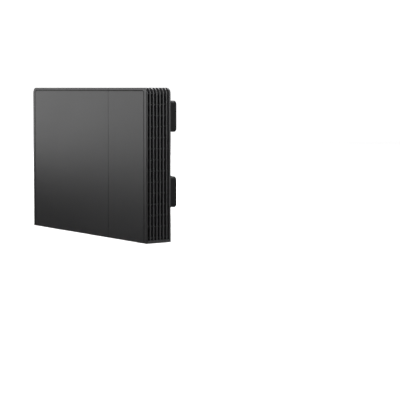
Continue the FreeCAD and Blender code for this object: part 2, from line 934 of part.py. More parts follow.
def power_switch():
    """A side-facing switch on the board, with its plunger over the button's stem."""
    body = block(around("button_x", "3.5"), ("button_y - 3.5", BOARD), ("9.5", "15.5"))
    plunger = rod("z", ("button_x", "button_y"), "1.6", ("8.3", "9.5"))
    return join([body, plunger])


def light_pipe():
    """A clear rod from the panel up to a foot on the board."""
    pipe = rod("z", ("light_x", "button_y"), "1.2", ("0.3", "11"))
    foot = block(around("light_x", "1.6"), ("button_y - 1.6", BOARD), ("10", "13"))
    return join([pipe, foot])


def cover_latch():
    """The slider that frees the port cover: a plate above the panel and a grip through its slot."""
    low = "panel_thickness + body_gap"
    plate = block(around("latch_x", "8"), around("latch_y", "5"), (low, f"{low} + 1.4"))
    grip_depth = around("latch_y", "2.4")
    grip = block(around("latch_x", "4"), grip_depth, ("0.5", low))
    cuts = [block(around(f"latch_x + {x}", "0.4"), grip_depth, ("0.5", "1")) for x in (-2.4, -0.8, 0.8, 2.4)]
    return carve(join([plate, grip]), cuts)


keep("power_button", power_button())
keep("button_guide", button_guide())
keep("power_switch", power_switch())
keep("status_light_pipe", light_pipe())
keep("cover_latch", cover_latch())


# ---------------------------------------------------------------- board

BOARD_SCREWS = [
    ("-112.5", "19.5"),
    ("-112", "92"),
    ("-112", "175"),
    ("-44", "175"),
    ("34", "175"),
    ("31", "30"),
]


def motherboard():
    body = new_body("board")
    profile = front_sketch(body, BOARD_BACK)
    rectangle(profile, ("board_left", "board_right"), ("board_low", "board_top"))
    pad(body, profile, "board_thickness")
    holes = front_sketch(body, BOARD)
    for x, z in BOARD_SCREWS:
        circle(holes, x, z, "1.6")
    for x, z in POST_PLACES[2:]:
        circle(holes, x, z, "post_radius + 0.4")
    pocket(body, holes, "board_thickness")
    return body


def standoffs():
    """Hexagonal pillars on the tray, tapped for the board's screws."""
    pillars = []
    for place in BOARD_SCREWS:
        pillar = hex_rod("y", place, "2.9", (BOARD_BACK, TRAY))
        pillars.append(carve(pillar, [rod("y", place, "1.5", (BOARD_BACK, f"{TRAY} - 0.5"))]))
    return group(pillars)


keep("motherboard", motherboard())
keep("standoffs", standoffs())
board_screws = [screw("y", place, BOARD, "5", 1, "1.4", "2.8", "1.6") for place in BOARD_SCREWS]
keep("board_screws", group(board_screws))


def square_on(x, z, half_x, half_z, back, thickness):
    """A flat block seen from the front: its middle, half sizes, and the Y of its back."""
    return block(around(x, half_x), (f"({back}) - {thickness}", back), around(z, half_z))


def processor():
    package = square_on("cpu_x", "cpu_z", 21, 14, BOARD, 1.2)
    die = square_on("cpu_x", "cpu_z", 8, 6, f"{BOARD} - 1.2", 0.8)
    return join([package, die])


keep("processor", processor())

# Memory levels: how far the front of each module stands off the board.
MEMORY_LEVELS = {"lower": 3.3, "upper": 7.7}


def memory_sockets():
    """Two stepped sockets with their spring arms, one above the other."""
    low, high = "memory_low - socket_ear", "memory_high + socket_ear"
    parts = [
        block(("20.5", "26.5"), (f"{BOARD} - 5.2", BOARD), (low, high)),
        block(("22.5", "28.0"), (f"{BOARD} - 9.6", f"{BOARD} - 5.2"), (low, high)),
    ]
    for span in ((low, "memory_low - 0.4"), ("memory_high + 0.4", high)):
        parts.append(block(("-2", "20.5"), (f"{BOARD} - 4.6", f"{BOARD} - 0.4"), span))
        parts.append(block(("1", "22.5"), (f"{BOARD} - 9.2", f"{BOARD} - 5.4"), span))
    slots = []
    for level in MEMORY_LEVELS.values():
        depth = (f"{BOARD} - {level} - 0.01", f"{BOARD} - {level} + memory_thickness + 0.01")
        slots.append(block(("20.4", "memory_right"), depth, ("memory_low", "memory_high")))
    return carve(join(parts), slots)


def memory_module(level):
    """A module with its row of chips, its edge in the socket's slot."""
    front = f"({BOARD} - {MEMORY_LEVELS[level]})"
    height = ("memory_low", "memory_high")
    board = block(("memory_left", "memory_right"), (front, f"{front} + memory_thickness"), height)
    chips = [square_on("1.5", f"{z}", 6, 6.6, front, 1.1) for z in (22.1, 38.3, 56.9, 73.1)]
    small = [square_on("14", f"{z}", 2, 2, front, 0.8) for z in (32, 47, 62)]
    return join([board] + chips + small)


keep("memory_sockets", memory_sockets())
for level_name in MEMORY_LEVELS:
    keep(f"memory_module_{level_name}", memory_module(level_name))

SSD_FRONT = f"({BOARD} - ssd_lift)"
SSD_BACK = f"({SSD_FRONT} + card_thickness)"
SSD_MIDDLE = "(ssd_low + ssd_high) / 2"

# Chips of the solid state drive: middle and half length.
SSD_CHIPS = [(-39, 7), (-22, 7), (-4, 5), (9.5, 4.5)]


def ssd_module():
    board = block(("ssd_left", "ssd_right"), (SSD_FRONT, SSD_BACK), ("ssd_low", "ssd_high"))
    chips = [square_on(f"{x}", SSD_MIDDLE, half, 7.2, SSD_FRONT, 1.2) for x, half in SSD_CHIPS]
    notch = rod("y", ("ssd_left", SSD_MIDDLE), "1.8", (SSD_FRONT, SSD_BACK))
    return carve(join([board] + chips), [notch])


def ssd_screw():
    """The screw at the drive's free end, with the round spacer under it."""
    place = ("ssd_left - 0.5", SSD_MIDDLE)
    spacer = rod("y", place, "3", (SSD_BACK, BOARD))
    shank = rod("y", place, "1.2", (SSD_FRONT, SSD_BACK))
    return join([spacer, shank, rod("y", place, "2.6", (f"{SSD_FRONT} - 1", SSD_FRONT))])


keep("ssd_module", ssd_module())
keep("ssd_screw", ssd_screw())

CARD_FRONT = f"({BOARD} - card_lift)"
CARD_BACK = f"({CARD_FRONT} + card_thickness)"


def wireless_card():
    board = block(("card_left", "card_right"), (CARD_FRONT, CARD_BACK), ("card_low", "card_high"))
    shield = block(("12.5", "30.5"), (f"{CARD_FRONT} - 1.3", CARD_FRONT), ("125", "145"))
    tap_depth = (f"{CARD_FRONT} - 1.2", CARD_FRONT)
    taps = [rod("y", (x, "tap_z"), "1.1", tap_depth) for x in ("left_tap_x", "right_tap_x")]
    return join([board, shield] + taps)


keep("wireless_card", wireless_card())


def card_sockets():
    """The blocks that the edges of the solid state drive and the wireless card go into."""
    ssd_ends = ("ssd_low - 0.5", "ssd_high + 0.5")
    ssd_block = block(("ssd_right - 2", "ssd_right + 3.5"), (f"{SSD_FRONT} - 1.4", BOARD), ssd_ends)
    ssd_slot = block(("ssd_right - 2.1", "ssd_right"), (SSD_FRONT, SSD_BACK), ("ssd_low", "ssd_high"))
    card_ends = ("card_left - 0.5", "card_right + 0.5")
    card_block = block(card_ends, (f"{CARD_FRONT} - 1.2", BOARD), ("card_low - 3.2", "card_low + 2"))
    card_slot = block(("card_left", "card_right"), (CARD_FRONT, CARD_BACK), ("card_low", "card_low + 2.1"))
    return group([carve(ssd_block, [ssd_slot]), carve(card_block, [card_slot])])


keep("card_sockets", card_sockets())


def antennas():
    """Two films on the tray, one along the left wall and one along the top of the bay."""
    depth = (f"{TRAY} - film_thickness", TRAY)
    return group([block(("-135", "-127"), depth, ("76", "121")), block(("62", "107"), depth, ("172", "180"))])


keep("antennas", antennas())


def tube(points, radius, bend):
    """A round lead along straight runs that tangent arcs join."""
    corners = [V(*(number(c) for c in point)) for point in points]
    edges = []
    start = corners[0]
    for before, corner, after in zip(corners, corners[1:], corners[2:]):
        arrive = (corner - before).normalize()
        leave = (after - corner).normalize()
        half = arrive.getAngle(leave) / 2
        cut_back = bend * math.tan(half)
        first = corner - arrive * cut_back
        last = corner + leave * cut_back
        inward = (leave - arrive).normalize()
        middle = corner + inward * (bend / math.cos(half) - bend)
        edges.append(Part.LineSegment(start, first).toShape())
        edges.append(Part.Arc(first, middle, last).toShape())
        start = last
    edges.append(Part.LineSegment(start, corners[-1]).toShape())
    path = Part.Wire(edges)
    ring = Part.Wire(Part.Circle(corners[0], corners[1] - corners[0], radius).toShape())
    solid = path.makePipeShell([ring], True, False)
    expected = path.Length * math.pi * radius**2
    if abs(solid.Volume - expected) > 0.02 * expected:
        raise RuntimeError("a lead's volume is not its section times its length")
    return solid


def lead(label, routes, radius, bend):
    made = doc.addObject("Part::Feature", "lead")
    solids = [tube(route, radius, bend) for route in routes]
    made.Shape = solids[0] if len(solids) == 1 else Part.makeCompound(solids)
    made.Placement = FreeCAD.Placement()
    keep(label, made)


TAP = f"({CARD_FRONT} - 1.9)"
ON_FILM = f"({TRAY} - film_thickness - 0.7)"
LEFT_ROUTE = [
    ("left_tap_x", TAP, "tap_z"),
    ("left_tap_x", TAP, "tap_z + 8"),
    ("left_tap_x", UNDER, "tap_z + 15"),
    ("left_tap_x", UNDER, "lead_hole_z - 1"),
    ("-124.4", UNDER, "lead_hole_z - 1"),
    ("-124.4", UNDER, "128"),
    ("-131", ON_FILM, "122"),
    ("-131", ON_FILM, "114"),
]
RIGHT_ROUTE = [
    ("right_tap_x", TAP, "tap_z"),
    ("right_tap_x", TAP, "tap_z + 8"),
    ("right_tap_x", UNDER, "tap_z + 15"),
    ("right_tap_x", UNDER, "lead_hole_z"),
    ("60", UNDER, "lead_hole_z"),
    ("66", ON_FILM, "176"),
    ("76", ON_FILM, "176"),
]
lead("antenna_leads", [LEFT_ROUTE, RIGHT_ROUTE], radius=0.6, bend=2.5)

CELL = ("cell_x", "cell_z")
CELL_BACK = f"({BOARD} - 0.9)"
holder = rod("y", CELL, "cell_radius + 1.6", (f"{BOARD} - 4.4", BOARD))
holder_bore = rod("y", CELL, "cell_radius + 0.1", (f"{BOARD} - 4.4", CELL_BACK))
keep("coin_cell_holder", carve(holder, [holder_bore]))
keep("coin_cell", rod("y", CELL, "cell_radius", (f"{CELL_BACK} - 3.2", CELL_BACK)))
chokes = [square_on(f"{x}", "choke_z", 3.5, 3.5, BOARD, 4.0) for x in (-6, 1.5, 9, 21.5)]
keep("power_chokes", group(chokes))


# ---------------------------------------------------------------- cooler

COLD_BACK = f"({BOARD} - 2.0)"
PIPE_BACK = f"({COLD_BACK} - 1.5)"
FIN_BACK = f"({PIPE_BACK} - pipe_thickness)"
COLD_FRONT = f"({COLD_BACK} - 1.5)"
EARS = [(f"cpu_x + ({a}) * ear_reach", f"cpu_z + ({b}) * ear_reach") for a in (-1, 1) for b in (-1, 1)]


def cold_plate():
    """The copper block on the processor, with an ear at each corner for a spring screw."""
    plate = square_on("cpu_x", "cpu_z", "cold_plate / 2", "cold_plate / 2", COLD_BACK, 1.5)
    ears = [rod("y", ear, "4.2", (COLD_FRONT, COLD_BACK)) for ear in EARS]
    holes = [rod("y", ear, "1.7", (COLD_FRONT, COLD_BACK)) for ear in EARS]
    return carve(join([plate] + ears), holes)


def heat_pipe(x, top, bend):
    """A flattened pipe that climbs from the cold plate and turns left under the fins."""
    body = new_body("pipe")
    half = "pipe_width / 2"
    end = "blower_x - fin_count * fin_pitch / 2"
    profile = front_sketch(body, PIPE_BACK)
    outline(
        profile,
        [
            (f"{x} - {half}", "cpu_z - 20"),
            (f"{x} + {half}", "cpu_z - 20"),
            (f"{x} + {half}", f"{top} - {bend}"),
            (f"{x} - {bend}", f"{top} + {half}", f"{bend} + {half}", 1),
            (end, f"{top} + {half}"),
            (end, f"{top} - {half}"),
            (f"{x} - {bend}", f"{top} - {half}"),
            (f"{x} - {half}", f"{top} - {bend}", f"{bend} - {half}", -1),
        ],
    )
    pad(body, profile, "pipe_thickness")
    round_body(body, "1.0", lambda edge: edge.BoundBox.YLength < 1e-6 and edge.Length > 8)
    return body


def fin_stack():
    """Thin fins between a base and a cap."""
    body = new_body("fins")
    low, high = "blower_z + blower_size / 2 + 0.6", "fin_top"
    left = "blower_x - fin_count * fin_pitch / 2"
    right = "blower_x + fin_count * fin_pitch / 2"
    base = front_sketch(body, FIN_BACK)
    rectangle(base, (left, right), (low, high))
    pad(body, base, "0.6")
    fin = front_sketch(body, f"{FIN_BACK} - 0.6")
    rectangle(fin, (left, f"{left} + fin_thickness"), (low, high))
    pitch = "(fin_pitch + (fin_pitch - fin_thickness) / (fin_count - 1))"
    repeat(body, pad(body, fin, "blower_depth - 1.4"), "X", pitch, "fin_count")
    cap = front_sketch(body, f"{FIN_BACK} - 0.6 - (blower_depth - 1.4)")
    rectangle(cap, (left, right), (low, high))
    pad(body, cap, "0.6")
    return body


BLOWER_BACK = f"({BOARD} - blower_lift)"
BLOWER_FRONT = f"({BLOWER_BACK} - blower_depth)"


def blower_outline(made, inset):
    """A round belly with straight sides that run up to the outlet."""
    half = f"(blower_size / 2 - {inset})"
    top = "blower_z + blower_size / 2"
    outline(
        made,
        [
            (f"blower_x - {half}", top),
            (f"blower_x - {half}", "blower_z"),
            ("blower_x", f"blower_z - {half}", half, 1),
            (f"blower_x + {half}", "blower_z", half, 1),
            (f"blower_x + {half}", top),
        ],
    )


def blower_housing():
    body = new_body("blower")
    base = front_sketch(body, BLOWER_BACK)
    blower_outline(base, "0")
    pad(body, base, "blower_depth - 0.8")
    inside = front_sketch(body, f"{BLOWER_FRONT} + 0.8")
    blower_outline(inside, "1.2")
    pocket(body, inside, "blower_depth - 1.8")
    boss = front_sketch(body, f"{BLOWER_BACK} - 1")
    circle(boss, "blower_x", "blower_z", "4")
    pad(body, boss, "1.6")
    bore = front_sketch(body, f"{BLOWER_BACK} - 2.6")
    circle(bore, "blower_x", "blower_z", "1.05")
    pocket(body, bore, "2.6")
    for x, z in (("-114", "162"), ("-50", "162"), ("-84", "99.5")):
        leg = front_sketch(body, BLOWER_BACK)
        circle(leg, x, z, "2.6")
        pad(body, leg, "blower_lift", backward=True)
    return body


def blower_lid():
    body = new_body("lid")
    plate = front_sketch(body, f"{BLOWER_FRONT} + 0.8")
    blower_outline(plate, "0")
    pad(body, plate, "0.8")
    intake = front_sketch(body, BLOWER_FRONT)
    circle(intake, "blower_x", "blower_z", "rotor_radius - 5")
    pocket(body, intake, "0.8")
    return body


def blower_rotor():
    """A hub with curved blades and a pin that turns in the housing's boss."""
    body = new_body("rotor")
    bind(body, "Placement.Base.x", "blower_x")
    bind(body, "Placement.Base.z", "blower_z")
    back = f"({BLOWER_BACK} - 3.0)"
    hub = front_sketch(body, back)
    circle(hub, "0", "0", "hub_radius")
    pad(body, hub, "rotor_depth")
    web = front_sketch(body, f"{back} - 0.6")
    circle(web, "0", "0", "rotor_radius - 4")
    pad(body, web, "0.8")
    blade = front_sketch(body, f"{back} - 0.6")
    outline(
        blade,
        [
            ("hub_radius - 1", "-0.4"),
            ("rotor_radius - 0.6", "6.0", "22", 1),
            ("rotor_radius - 1.0", "6.8"),
            ("hub_radius - 1", "0.4", "21.2", -1),
        ],
    )
    blade_pad = pad(body, blade, "rotor_depth - 1.2")
    ring = body.newObject("PartDesign::PolarPattern", "blades")
    ring.Originals = [blade_pad]
    ring.Axis = (origin(body, "Y_Axis"), [""])
    ring.Angle = 360
    bind(ring, "Occurrences", "blade_count")
    body.Tip = ring
    shaft = front_sketch(body, back)
    circle(shaft, "0", "0", "1.0")
    pad(body, shaft, "2.8", backward=True)
    dish = front_sketch(body, f"{back} - rotor_depth")
    circle(dish, "0", "0", "hub_radius - 3")
    pocket(body, dish, "0.5")
    return body


keep("cold_plate", cold_plate())
inner_pipe = heat_pipe("(cpu_x - 8)", "177.2", "9")
outer_pipe = heat_pipe("(cpu_x - 0.6)", "184.6", "16.4")
keep("heat_pipes", group([inner_pipe, outer_pipe]))
keep("cooler_screws", group([screw("y", ear, COLD_FRONT, "3.4", 1, "1.5", "2.9", "1.8") for ear in EARS]))
keep("fin_stack", fin_stack())
keep("blower_housing", blower_housing())
keep("blower_lid", blower_lid())
keep("blower_rotor", blower_rotor())
keep("blower_header", block(("-66", "-58"), (f"{BOARD} - 3.6", BOARD), ("88.6", "93.2")))


def blower_wire(x):
    """One wire's route from the round belly of the blower down to its header."""
    belly = f"(blower_z - sqrt((blower_size / 2)^2 - ({x} - blower_x)^2))"
    high, low = f"{BLOWER_BACK} - 4", f"{BOARD} - 2"
    return [(x, high, f"{belly} - 0.5"), (x, high, "98"), (x, low, "96.6"), (x, low, "93.2")]


lead("blower_lead", [blower_wire(x) for x in (-60, -61.4, -62.8, -64.2)], radius=0.5, bend=1.2)


# ---------------------------------------------------------------- drive bay

DRIVE_RIGHT = "(drive_left + drive_length)"
DRIVE_TOP = "(drive_low + drive_width)"
DRIVE_BACK = "(drive_front + drive_height)"


def storage_drive():
    """A flat drive with a recess for its connector at the left end."""
    body = block(("drive_left", DRIVE_RIGHT), ("drive_front", DRIVE_BACK), ("drive_low", DRIVE_TOP))
    deep = ("drive_left - 1", "drive_left + 5.5")
    recess = block(deep, ("drive_front + 2", "drive_front + 5.4"), ("31.4", "66.6"))
    return soften(carve(body, [recess]), 1.2, lambda e: runs_along("y")(e) and e.Length > 6.5)


def drive_caddy():
    """A tray with two side rails and a pull at its right end. The drive lies on its floor."""
    length = ("drive_left", f"{DRIVE_RIGHT} + caddy_pull")
    floor_depth = (DRIVE_BACK, f"{DRIVE_BACK} + caddy_floor")
    rail_depth = ("drive_front", DRIVE_BACK)
    parts = [block(length, floor_depth, ("drive_low - caddy_wall", f"{DRIVE_TOP} + caddy_wall"))]
    for low in ("(drive_low - caddy_wall)", DRIVE_TOP):
        parts.append(block(length, rail_depth, (low, f"{low} + caddy_wall")))
    parts.append(block((f"{DRIVE_RIGHT} + 1.5", f"{DRIVE_RIGHT} + caddy_pull"), rail_depth, ("34", "64")))
    windows = [block((f"{x}", f"{x} + 24"), floor_depth, ("24", "74")) for x in (-104, -74, -44)]
    return carve(join(parts), windows)


CRADLE_FRONT = f"({DRIVE_BACK} + 2)"
CRADLE_BACK = f"({CRADLE_FRONT} + cradle_sheet)"
CRADLE_LEGS = [("-90", "14"), ("-16", "14"), ("-106", "83.6"), ("-16", "83.6")]


def drive_cradle():
    """A steel channel on four legs that the caddy slides in, with a large lightening window."""
    length = ("cradle_left", "cradle_right")
    sheet_span = (CRADLE_FRONT, CRADLE_BACK)
    outer = block(length, sheet_span, ("cradle_low", "cradle_high"))
    wall_spans = (("cradle_low", "cradle_low + cradle_sheet"), ("cradle_high - cradle_sheet", "cradle_high"))
    walls = [block(length, ("drive_front + 2", CRADLE_FRONT), span) for span in wall_spans]
    window = block(("-100", "-26"), sheet_span, ("22", "76"))
    legs = [rod("y", place, "2.4", (CRADLE_BACK, BOARD)) for place in CRADLE_LEGS]
    return join([carve(join([outer] + walls), [window])] + legs)


keep("storage_drive", storage_drive())
keep("drive_caddy", drive_caddy())
keep("drive_cradle", drive_cradle())
keep("drive_riser", block(("riser_x - board_thickness", "riser_x"), ("drive_front", BOARD), ("24", "74")))
shell = block(("riser_x", "drive_left - 0.8"), ("drive_front + 1.4", "drive_front + 6"), ("30", "68"))
blade = block(
    ("drive_left - 0.8", "drive_left + 3"), ("drive_front + 3.1", "drive_front + 4.3"), ("33", "65")
)
keep("drive_connector", join([shell, blade]))


def speaker():
    """A small sealed speaker box with a round cone recess."""
    front = f"({TRAY} - speaker_depth)"
    box = block(("speaker_left", "speaker_right"), (front, TRAY), ("speaker_low", "speaker_high"))
    middle = ("(speaker_left + speaker_right) / 2", "(speaker_low + speaker_high) / 2")
    cone = rod("y", middle, "5", (front, f"{front} + 1"))
    cap = rod("y", middle, "2.2", (f"{front} + 0.3", f"{front} + 1"))
    return soften(join([carve(box, [cone]), cap]), 2.0, lambda e: runs_along("y")(e) and e.Length > 11.5)


keep("speaker", speaker())


# ---------------------------------------------------------------- sockets

SOCKET_END = "(board_right + 2.9)"


def socket_shell(name, depth):
    """The housing of an edge socket: its middle height, half width and height are in EDGE_SOCKETS."""
    middle, half, tall = EDGE_SOCKETS[name]
    return block((f"{SOCKET_END} - {depth}", SOCKET_END), (f"{BOARD} - {tall}", BOARD), around(middle, half))


def mouth(name, depth, half, low, high):
    """A cavity in an edge socket, between two heights off the board."""
    middle = EDGE_SOCKETS[name][0]
    return block(
        (f"{SOCKET_END} - {depth}", f"{SOCKET_END} + 1"),
        (f"{BOARD} - {high}", f"{BOARD} - {low}"),
        around(middle, half),
    )


def tongue(name, depth, half, low, high):
    middle = EDGE_SOCKETS[name][0]
    return block(
        (f"{SOCKET_END} - {depth}", f"{SOCKET_END} - 0.6"),
        (f"{BOARD} - {high}", f"{BOARD} - {low}"),
        around(middle, half),
    )


def network_jack():
    name = "network_jack"
    cavities = [mouth(name, 14, 5.9, 3.2, 11.2), mouth(name, 14, 2.9, 1.6, 3.3)]
    return carve(socket_shell(name, 21), cavities)


def usb_stack(name):
    levels = ((1.4, 6.6), (9.0, 14.2))
    shell = carve(socket_shell(name, 18), [mouth(name, 11, 6.3, low, high) for low, high in levels])
    return join([shell] + [tongue(name, 11.2, 5.6, high - 2.0, high - 0.4) for _, high in levels])


def video_socket(name, half):
    shell = carve(socket_shell(name, 15), [mouth(name, 9, half, 0.8, 5.2)])
    return join([shell, tongue(name, 9.2, half - 1.6, 2.4, 3.4)])


def power_inlet():
    middle, _, tall = EDGE_SOCKETS["power_inlet"]
    place = (f"{BOARD} - {tall} / 2", f"{middle}")
    bore = rod("x", place, "3.1", (f"{SOCKET_END} - 10", f"{SOCKET_END}"))
    centre_pin = rod("x", place, "1.0", (f"{SOCKET_END} - 10.5", f"{SOCKET_END} - 1"))
    return join([carve(socket_shell("power_inlet", 14.5), [bore]), centre_pin])


def audio_jack():
    middle, _, tall = EDGE_SOCKETS["audio_jack"]
    place = (f"{BOARD} - {tall} / 2", f"{middle}")
    bore = rod("x", place, "jack_bore", (f"{SOCKET_END} - 12", SOCKET_END))
    return carve(socket_shell("audio_jack", 13), [bore])


keep("power_inlet", power_inlet())
keep("network_jack", network_jack())
keep("usb_stacks", group([usb_stack("usb_stack_lower"), usb_stack("usb_stack_upper")]))
mouth_halves = {"video_socket_a": 6.9, "video_socket_b": 8.0, "video_socket_c": 8.0}
keep("video_sockets", group([video_socket(name, half) for name, half in mouth_halves.items()]))
keep("audio_jack", audio_jack())


def bottom_usb_a():
    width = around("usb_a_x", "usb_a_half")
    shell = block(width, (f"{BOARD} - 6.1", f"{BOARD} - 0.3"), ("socket_low", "15"))
    inside = around("usb_a_x", "usb_a_half - 0.3")
    hollow = block(inside, (f"{BOARD} - 5.8", f"{BOARD} - 0.6"), ("socket_low - 0.1", "11"))
    tongue_width = around("usb_a_x", "usb_a_half - 0.9")
    blade = block(tongue_width, (f"{BOARD} - 2.6", f"{BOARD} - 1.0"), ("socket_low + 0.8", "11"))
    seat = block(width, (f"{BOARD} - 0.3", BOARD), ("board_low", "15"))
    return join([carve(shell, [hollow]), blade, seat])


def bottom_usb_c():
    """A flat shell with round ends, made as a tube with a thin tongue inside."""
    body = new_body("usb_c")
    rim = plan_sketch(body, "socket_low")
    slot(rim, around("usb_c_x", "usb_c_half"), (f"{BOARD} - 3.6", f"{BOARD} - 0.4"), "1.59")
    pad(body, rim, "9")
    hollow = plan_sketch(body, "socket_low")
    slot(hollow, around("usb_c_x", "usb_c_half - 0.3"), (f"{BOARD} - 3.3", f"{BOARD} - 0.7"), "1.29")
    pocket(body, hollow, "6.5", forward=True)
    blade = plan_sketch(body, "socket_low + 1")
    rectangle(blade, around("usb_c_x", "usb_c_half - 1.2"), (f"{BOARD} - 2.3", f"{BOARD} - 1.7"))
    pad(body, blade, "6")
    seat = plan_sketch(body, "board_low")
    rectangle(seat, around("usb_c_x", "usb_c_half"), (f"{BOARD} - 2.0", BOARD))
    pad(body, seat, "1.8")
    return body


def bottom_audio():
    place = ("jack_x", f"{BOARD} - jack_lift")
    body = block(around("jack_x", "jack_lift"), (f"{BOARD} - 2 * jack_lift", BOARD), ("board_low", "20"))
    barrel = rod("z", place, "jack_radius", ("socket_low", "board_low"))
    return carve(join([body, barrel]), [rod("z", place, "jack_bore", ("socket_low - 0.1", "15"))])


keep("bottom_usb_sockets", group([bottom_usb_a(), bottom_usb_c()]))
keep("bottom_audio_jack", bottom_audio())


def cable_comb():
    """A comb on the bay's back that keeps the leads apart."""
    base = block(("comb_left", "comb_right"), (f"{TRAY} - 2", TRAY), ("comb_low", "comb_high"))
    width = ("comb_left + 5", "comb_right - 5")
    depth = (f"{TRAY} - 11", f"{TRAY} - 2")
    fingers = [block(width, depth, (f"{z}", f"{z} + 2.4")) for z in (80, 93.5, 107, 120.5)]
    return join([base] + fingers)


keep("cable_comb", cable_comb())


# ---------------------------------------------------------------- checks and files

doc.recompute()
for thing in doc.Objects:
    if {"Invalid", "Error"} & set(thing.State):
        raise RuntimeError(f"{thing.Label} ({thing.Name}) failed: {thing.State}")

os.makedirs("parts", exist_ok=True)
for piece in SUBPARTS:
    shape = piece.Shape
    if shape.isNull() or not shape.isValid() or not shape.Solids:
        raise RuntimeError(f"{piece.Label} has no valid solid")
    shape.exportStep(f"parts/{piece.Label}.step")
print(f"{len(SUBPARTS)} sub-parts written")
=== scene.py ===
import json
import math
import random

import bmesh
import bpy
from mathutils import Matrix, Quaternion, Vector
from mathutils.bvhtree import BVHTree


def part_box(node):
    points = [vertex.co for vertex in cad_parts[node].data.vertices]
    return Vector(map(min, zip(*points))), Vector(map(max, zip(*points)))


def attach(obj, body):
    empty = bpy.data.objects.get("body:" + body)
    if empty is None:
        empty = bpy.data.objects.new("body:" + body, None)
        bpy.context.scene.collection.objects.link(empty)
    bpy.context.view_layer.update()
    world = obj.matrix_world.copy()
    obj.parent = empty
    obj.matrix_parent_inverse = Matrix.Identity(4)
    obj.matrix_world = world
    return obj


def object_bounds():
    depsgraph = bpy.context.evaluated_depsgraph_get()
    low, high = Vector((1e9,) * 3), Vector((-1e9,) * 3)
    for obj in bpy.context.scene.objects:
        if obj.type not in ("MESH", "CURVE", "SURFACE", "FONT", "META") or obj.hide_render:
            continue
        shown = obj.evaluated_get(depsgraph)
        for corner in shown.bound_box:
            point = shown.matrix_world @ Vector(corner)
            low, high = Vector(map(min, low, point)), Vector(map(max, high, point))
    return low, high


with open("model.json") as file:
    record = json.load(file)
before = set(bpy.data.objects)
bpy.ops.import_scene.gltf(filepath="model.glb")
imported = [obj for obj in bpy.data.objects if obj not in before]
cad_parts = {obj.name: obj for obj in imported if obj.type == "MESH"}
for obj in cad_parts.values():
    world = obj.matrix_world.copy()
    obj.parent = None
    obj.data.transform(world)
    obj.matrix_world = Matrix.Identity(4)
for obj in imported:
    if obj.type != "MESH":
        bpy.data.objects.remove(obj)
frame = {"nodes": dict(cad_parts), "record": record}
cad_low, cad_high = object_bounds()
NODES = frame["nodes"]
MM = 0.001
MICRON = 0.000001


# ---------------------------------------------------------------- materials


def new_material(name):
    material = bpy.data.materials.new(name)
    material.use_nodes = True
    nodes = material.node_tree.nodes
    nodes.clear()
    output = nodes.new("ShaderNodeOutputMaterial")
    shader = nodes.new("ShaderNodeBsdfPrincipled")
    material.node_tree.links.new(shader.outputs[0], output.inputs[0])
    return material, shader


MIDDLE_OF_NOISE = (0.3, 0.7)  # where most values of a noise lie
GROOVE_STARTS, GROOVE_FULL, GROOVE_ENDS = 0.2 * MM, 0.4 * MM, 1.5 * MM  # depths behind the face
RIM = 1.5 * MM  # the rounded edge round the face, which counts as no groove


class Weave:
    """Small helpers to wire nodes into one material."""

    def __init__(self, material):
        self.tree = material.node_tree
        self.where = self.add("ShaderNodeTexCoord").outputs["Object"]

    def add(self, kind, **settings):
        node = self.tree.nodes.new(kind)
        for key, value in settings.items():
            setattr(node, key, value)
        return node

    def link(self, source, target):
        self.tree.links.new(source, target)

    def stretched(self, scale):
        """Object coordinates scaled by a different amount along each axis."""
        mapping = self.add("ShaderNodeMapping")
        mapping.inputs["Scale"].default_value = scale
        self.link(self.where, mapping.inputs["Vector"])
        return mapping.outputs["Vector"]

    def noise(self, scale, detail=3.0, vector=None):
        node = self.add("ShaderNodeTexNoise")
        node.inputs["Scale"].default_value = scale
        node.inputs["Detail"].default_value = detail
        node.inputs["Roughness"].default_value = 0.55
        self.link(vector or self.where, node.inputs["Vector"])
        return node.outputs["Fac"]

    def cells(self, scale, vector=None, output="Distance"):
        node = self.add("ShaderNodeTexVoronoi")
        node.inputs["Scale"].default_value = scale
        self.link(vector or self.where, node.inputs["Vector"])
        return node.outputs[output]

    def spread(self, value, low, high, source=MIDDLE_OF_NOISE):
        """Maps a value from the source range to low and high."""
        node = self.add("ShaderNodeMapRange")
        node.inputs["From Min"].default_value = source[0]
        node.inputs["From Max"].default_value = source[1]
        node.inputs["To Min"].default_value = low
        node.inputs["To Max"].default_value = high
        self.link(value, node.inputs["Value"])
        return node.outputs["Result"]

    def mix(self, factor, first, second):
        """Mixes two colours. Each is a tuple or a socket."""
        node = self.add("ShaderNodeMix", data_type="RGBA")
        self.link(factor, node.inputs[0])
        for socket, value in ((node.inputs[6], first), (node.inputs[7], second)):
            if isinstance(value, tuple):
                socket.default_value = (*value, 1.0)
            else:
                self.link(value, socket)
        return node.outputs[2]

    def math(self, operation, first, second):
        node = self.add("ShaderNodeMath", operation=operation)
        for socket, value in zip(node.inputs, (first, second)):
            if isinstance(value, (int, float)):
                socket.default_value = value
            else:
                self.link(value, socket)
        return node.outputs[0]

    def groove_shade_mask(self):
        """Where the cover's painted groove shade goes: 1 inside the grooves of the face and 0 elsewhere,
        below the face but clear of the rounded rim.
        """
        axes = self.add("ShaderNodeSeparateXYZ")
        self.link(self.where, axes.inputs[0])
        across, depth, height = axes.outputs
        deep = self.spread(depth, 0.0, 1.0, (cad_low.y + GROOVE_STARTS, cad_low.y + GROOVE_FULL))
        shallow = self.math("LESS_THAN", depth, cad_low.y + GROOVE_ENDS)
        inside = self.math("LESS_THAN", self.math("ABSOLUTE", across, 0), cad_high.x - RIM)
        under = self.math("LESS_THAN", height, cad_high.z - RIM)
        clear_of_rim = self.math("MULTIPLY", inside, under)
        return self.math("MULTIPLY", self.math("MULTIPLY", deep, shallow), clear_of_rim)

    def bump(self, height, distance, under=None):
        node = self.add("ShaderNodeBump")
        node.inputs["Strength"].default_value = 1.0
        node.inputs["Distance"].default_value = distance
        self.link(height, node.inputs["Height"])
        if under is not None:
            self.link(under, node.inputs["Normal"])
        return node.outputs["Normal"]


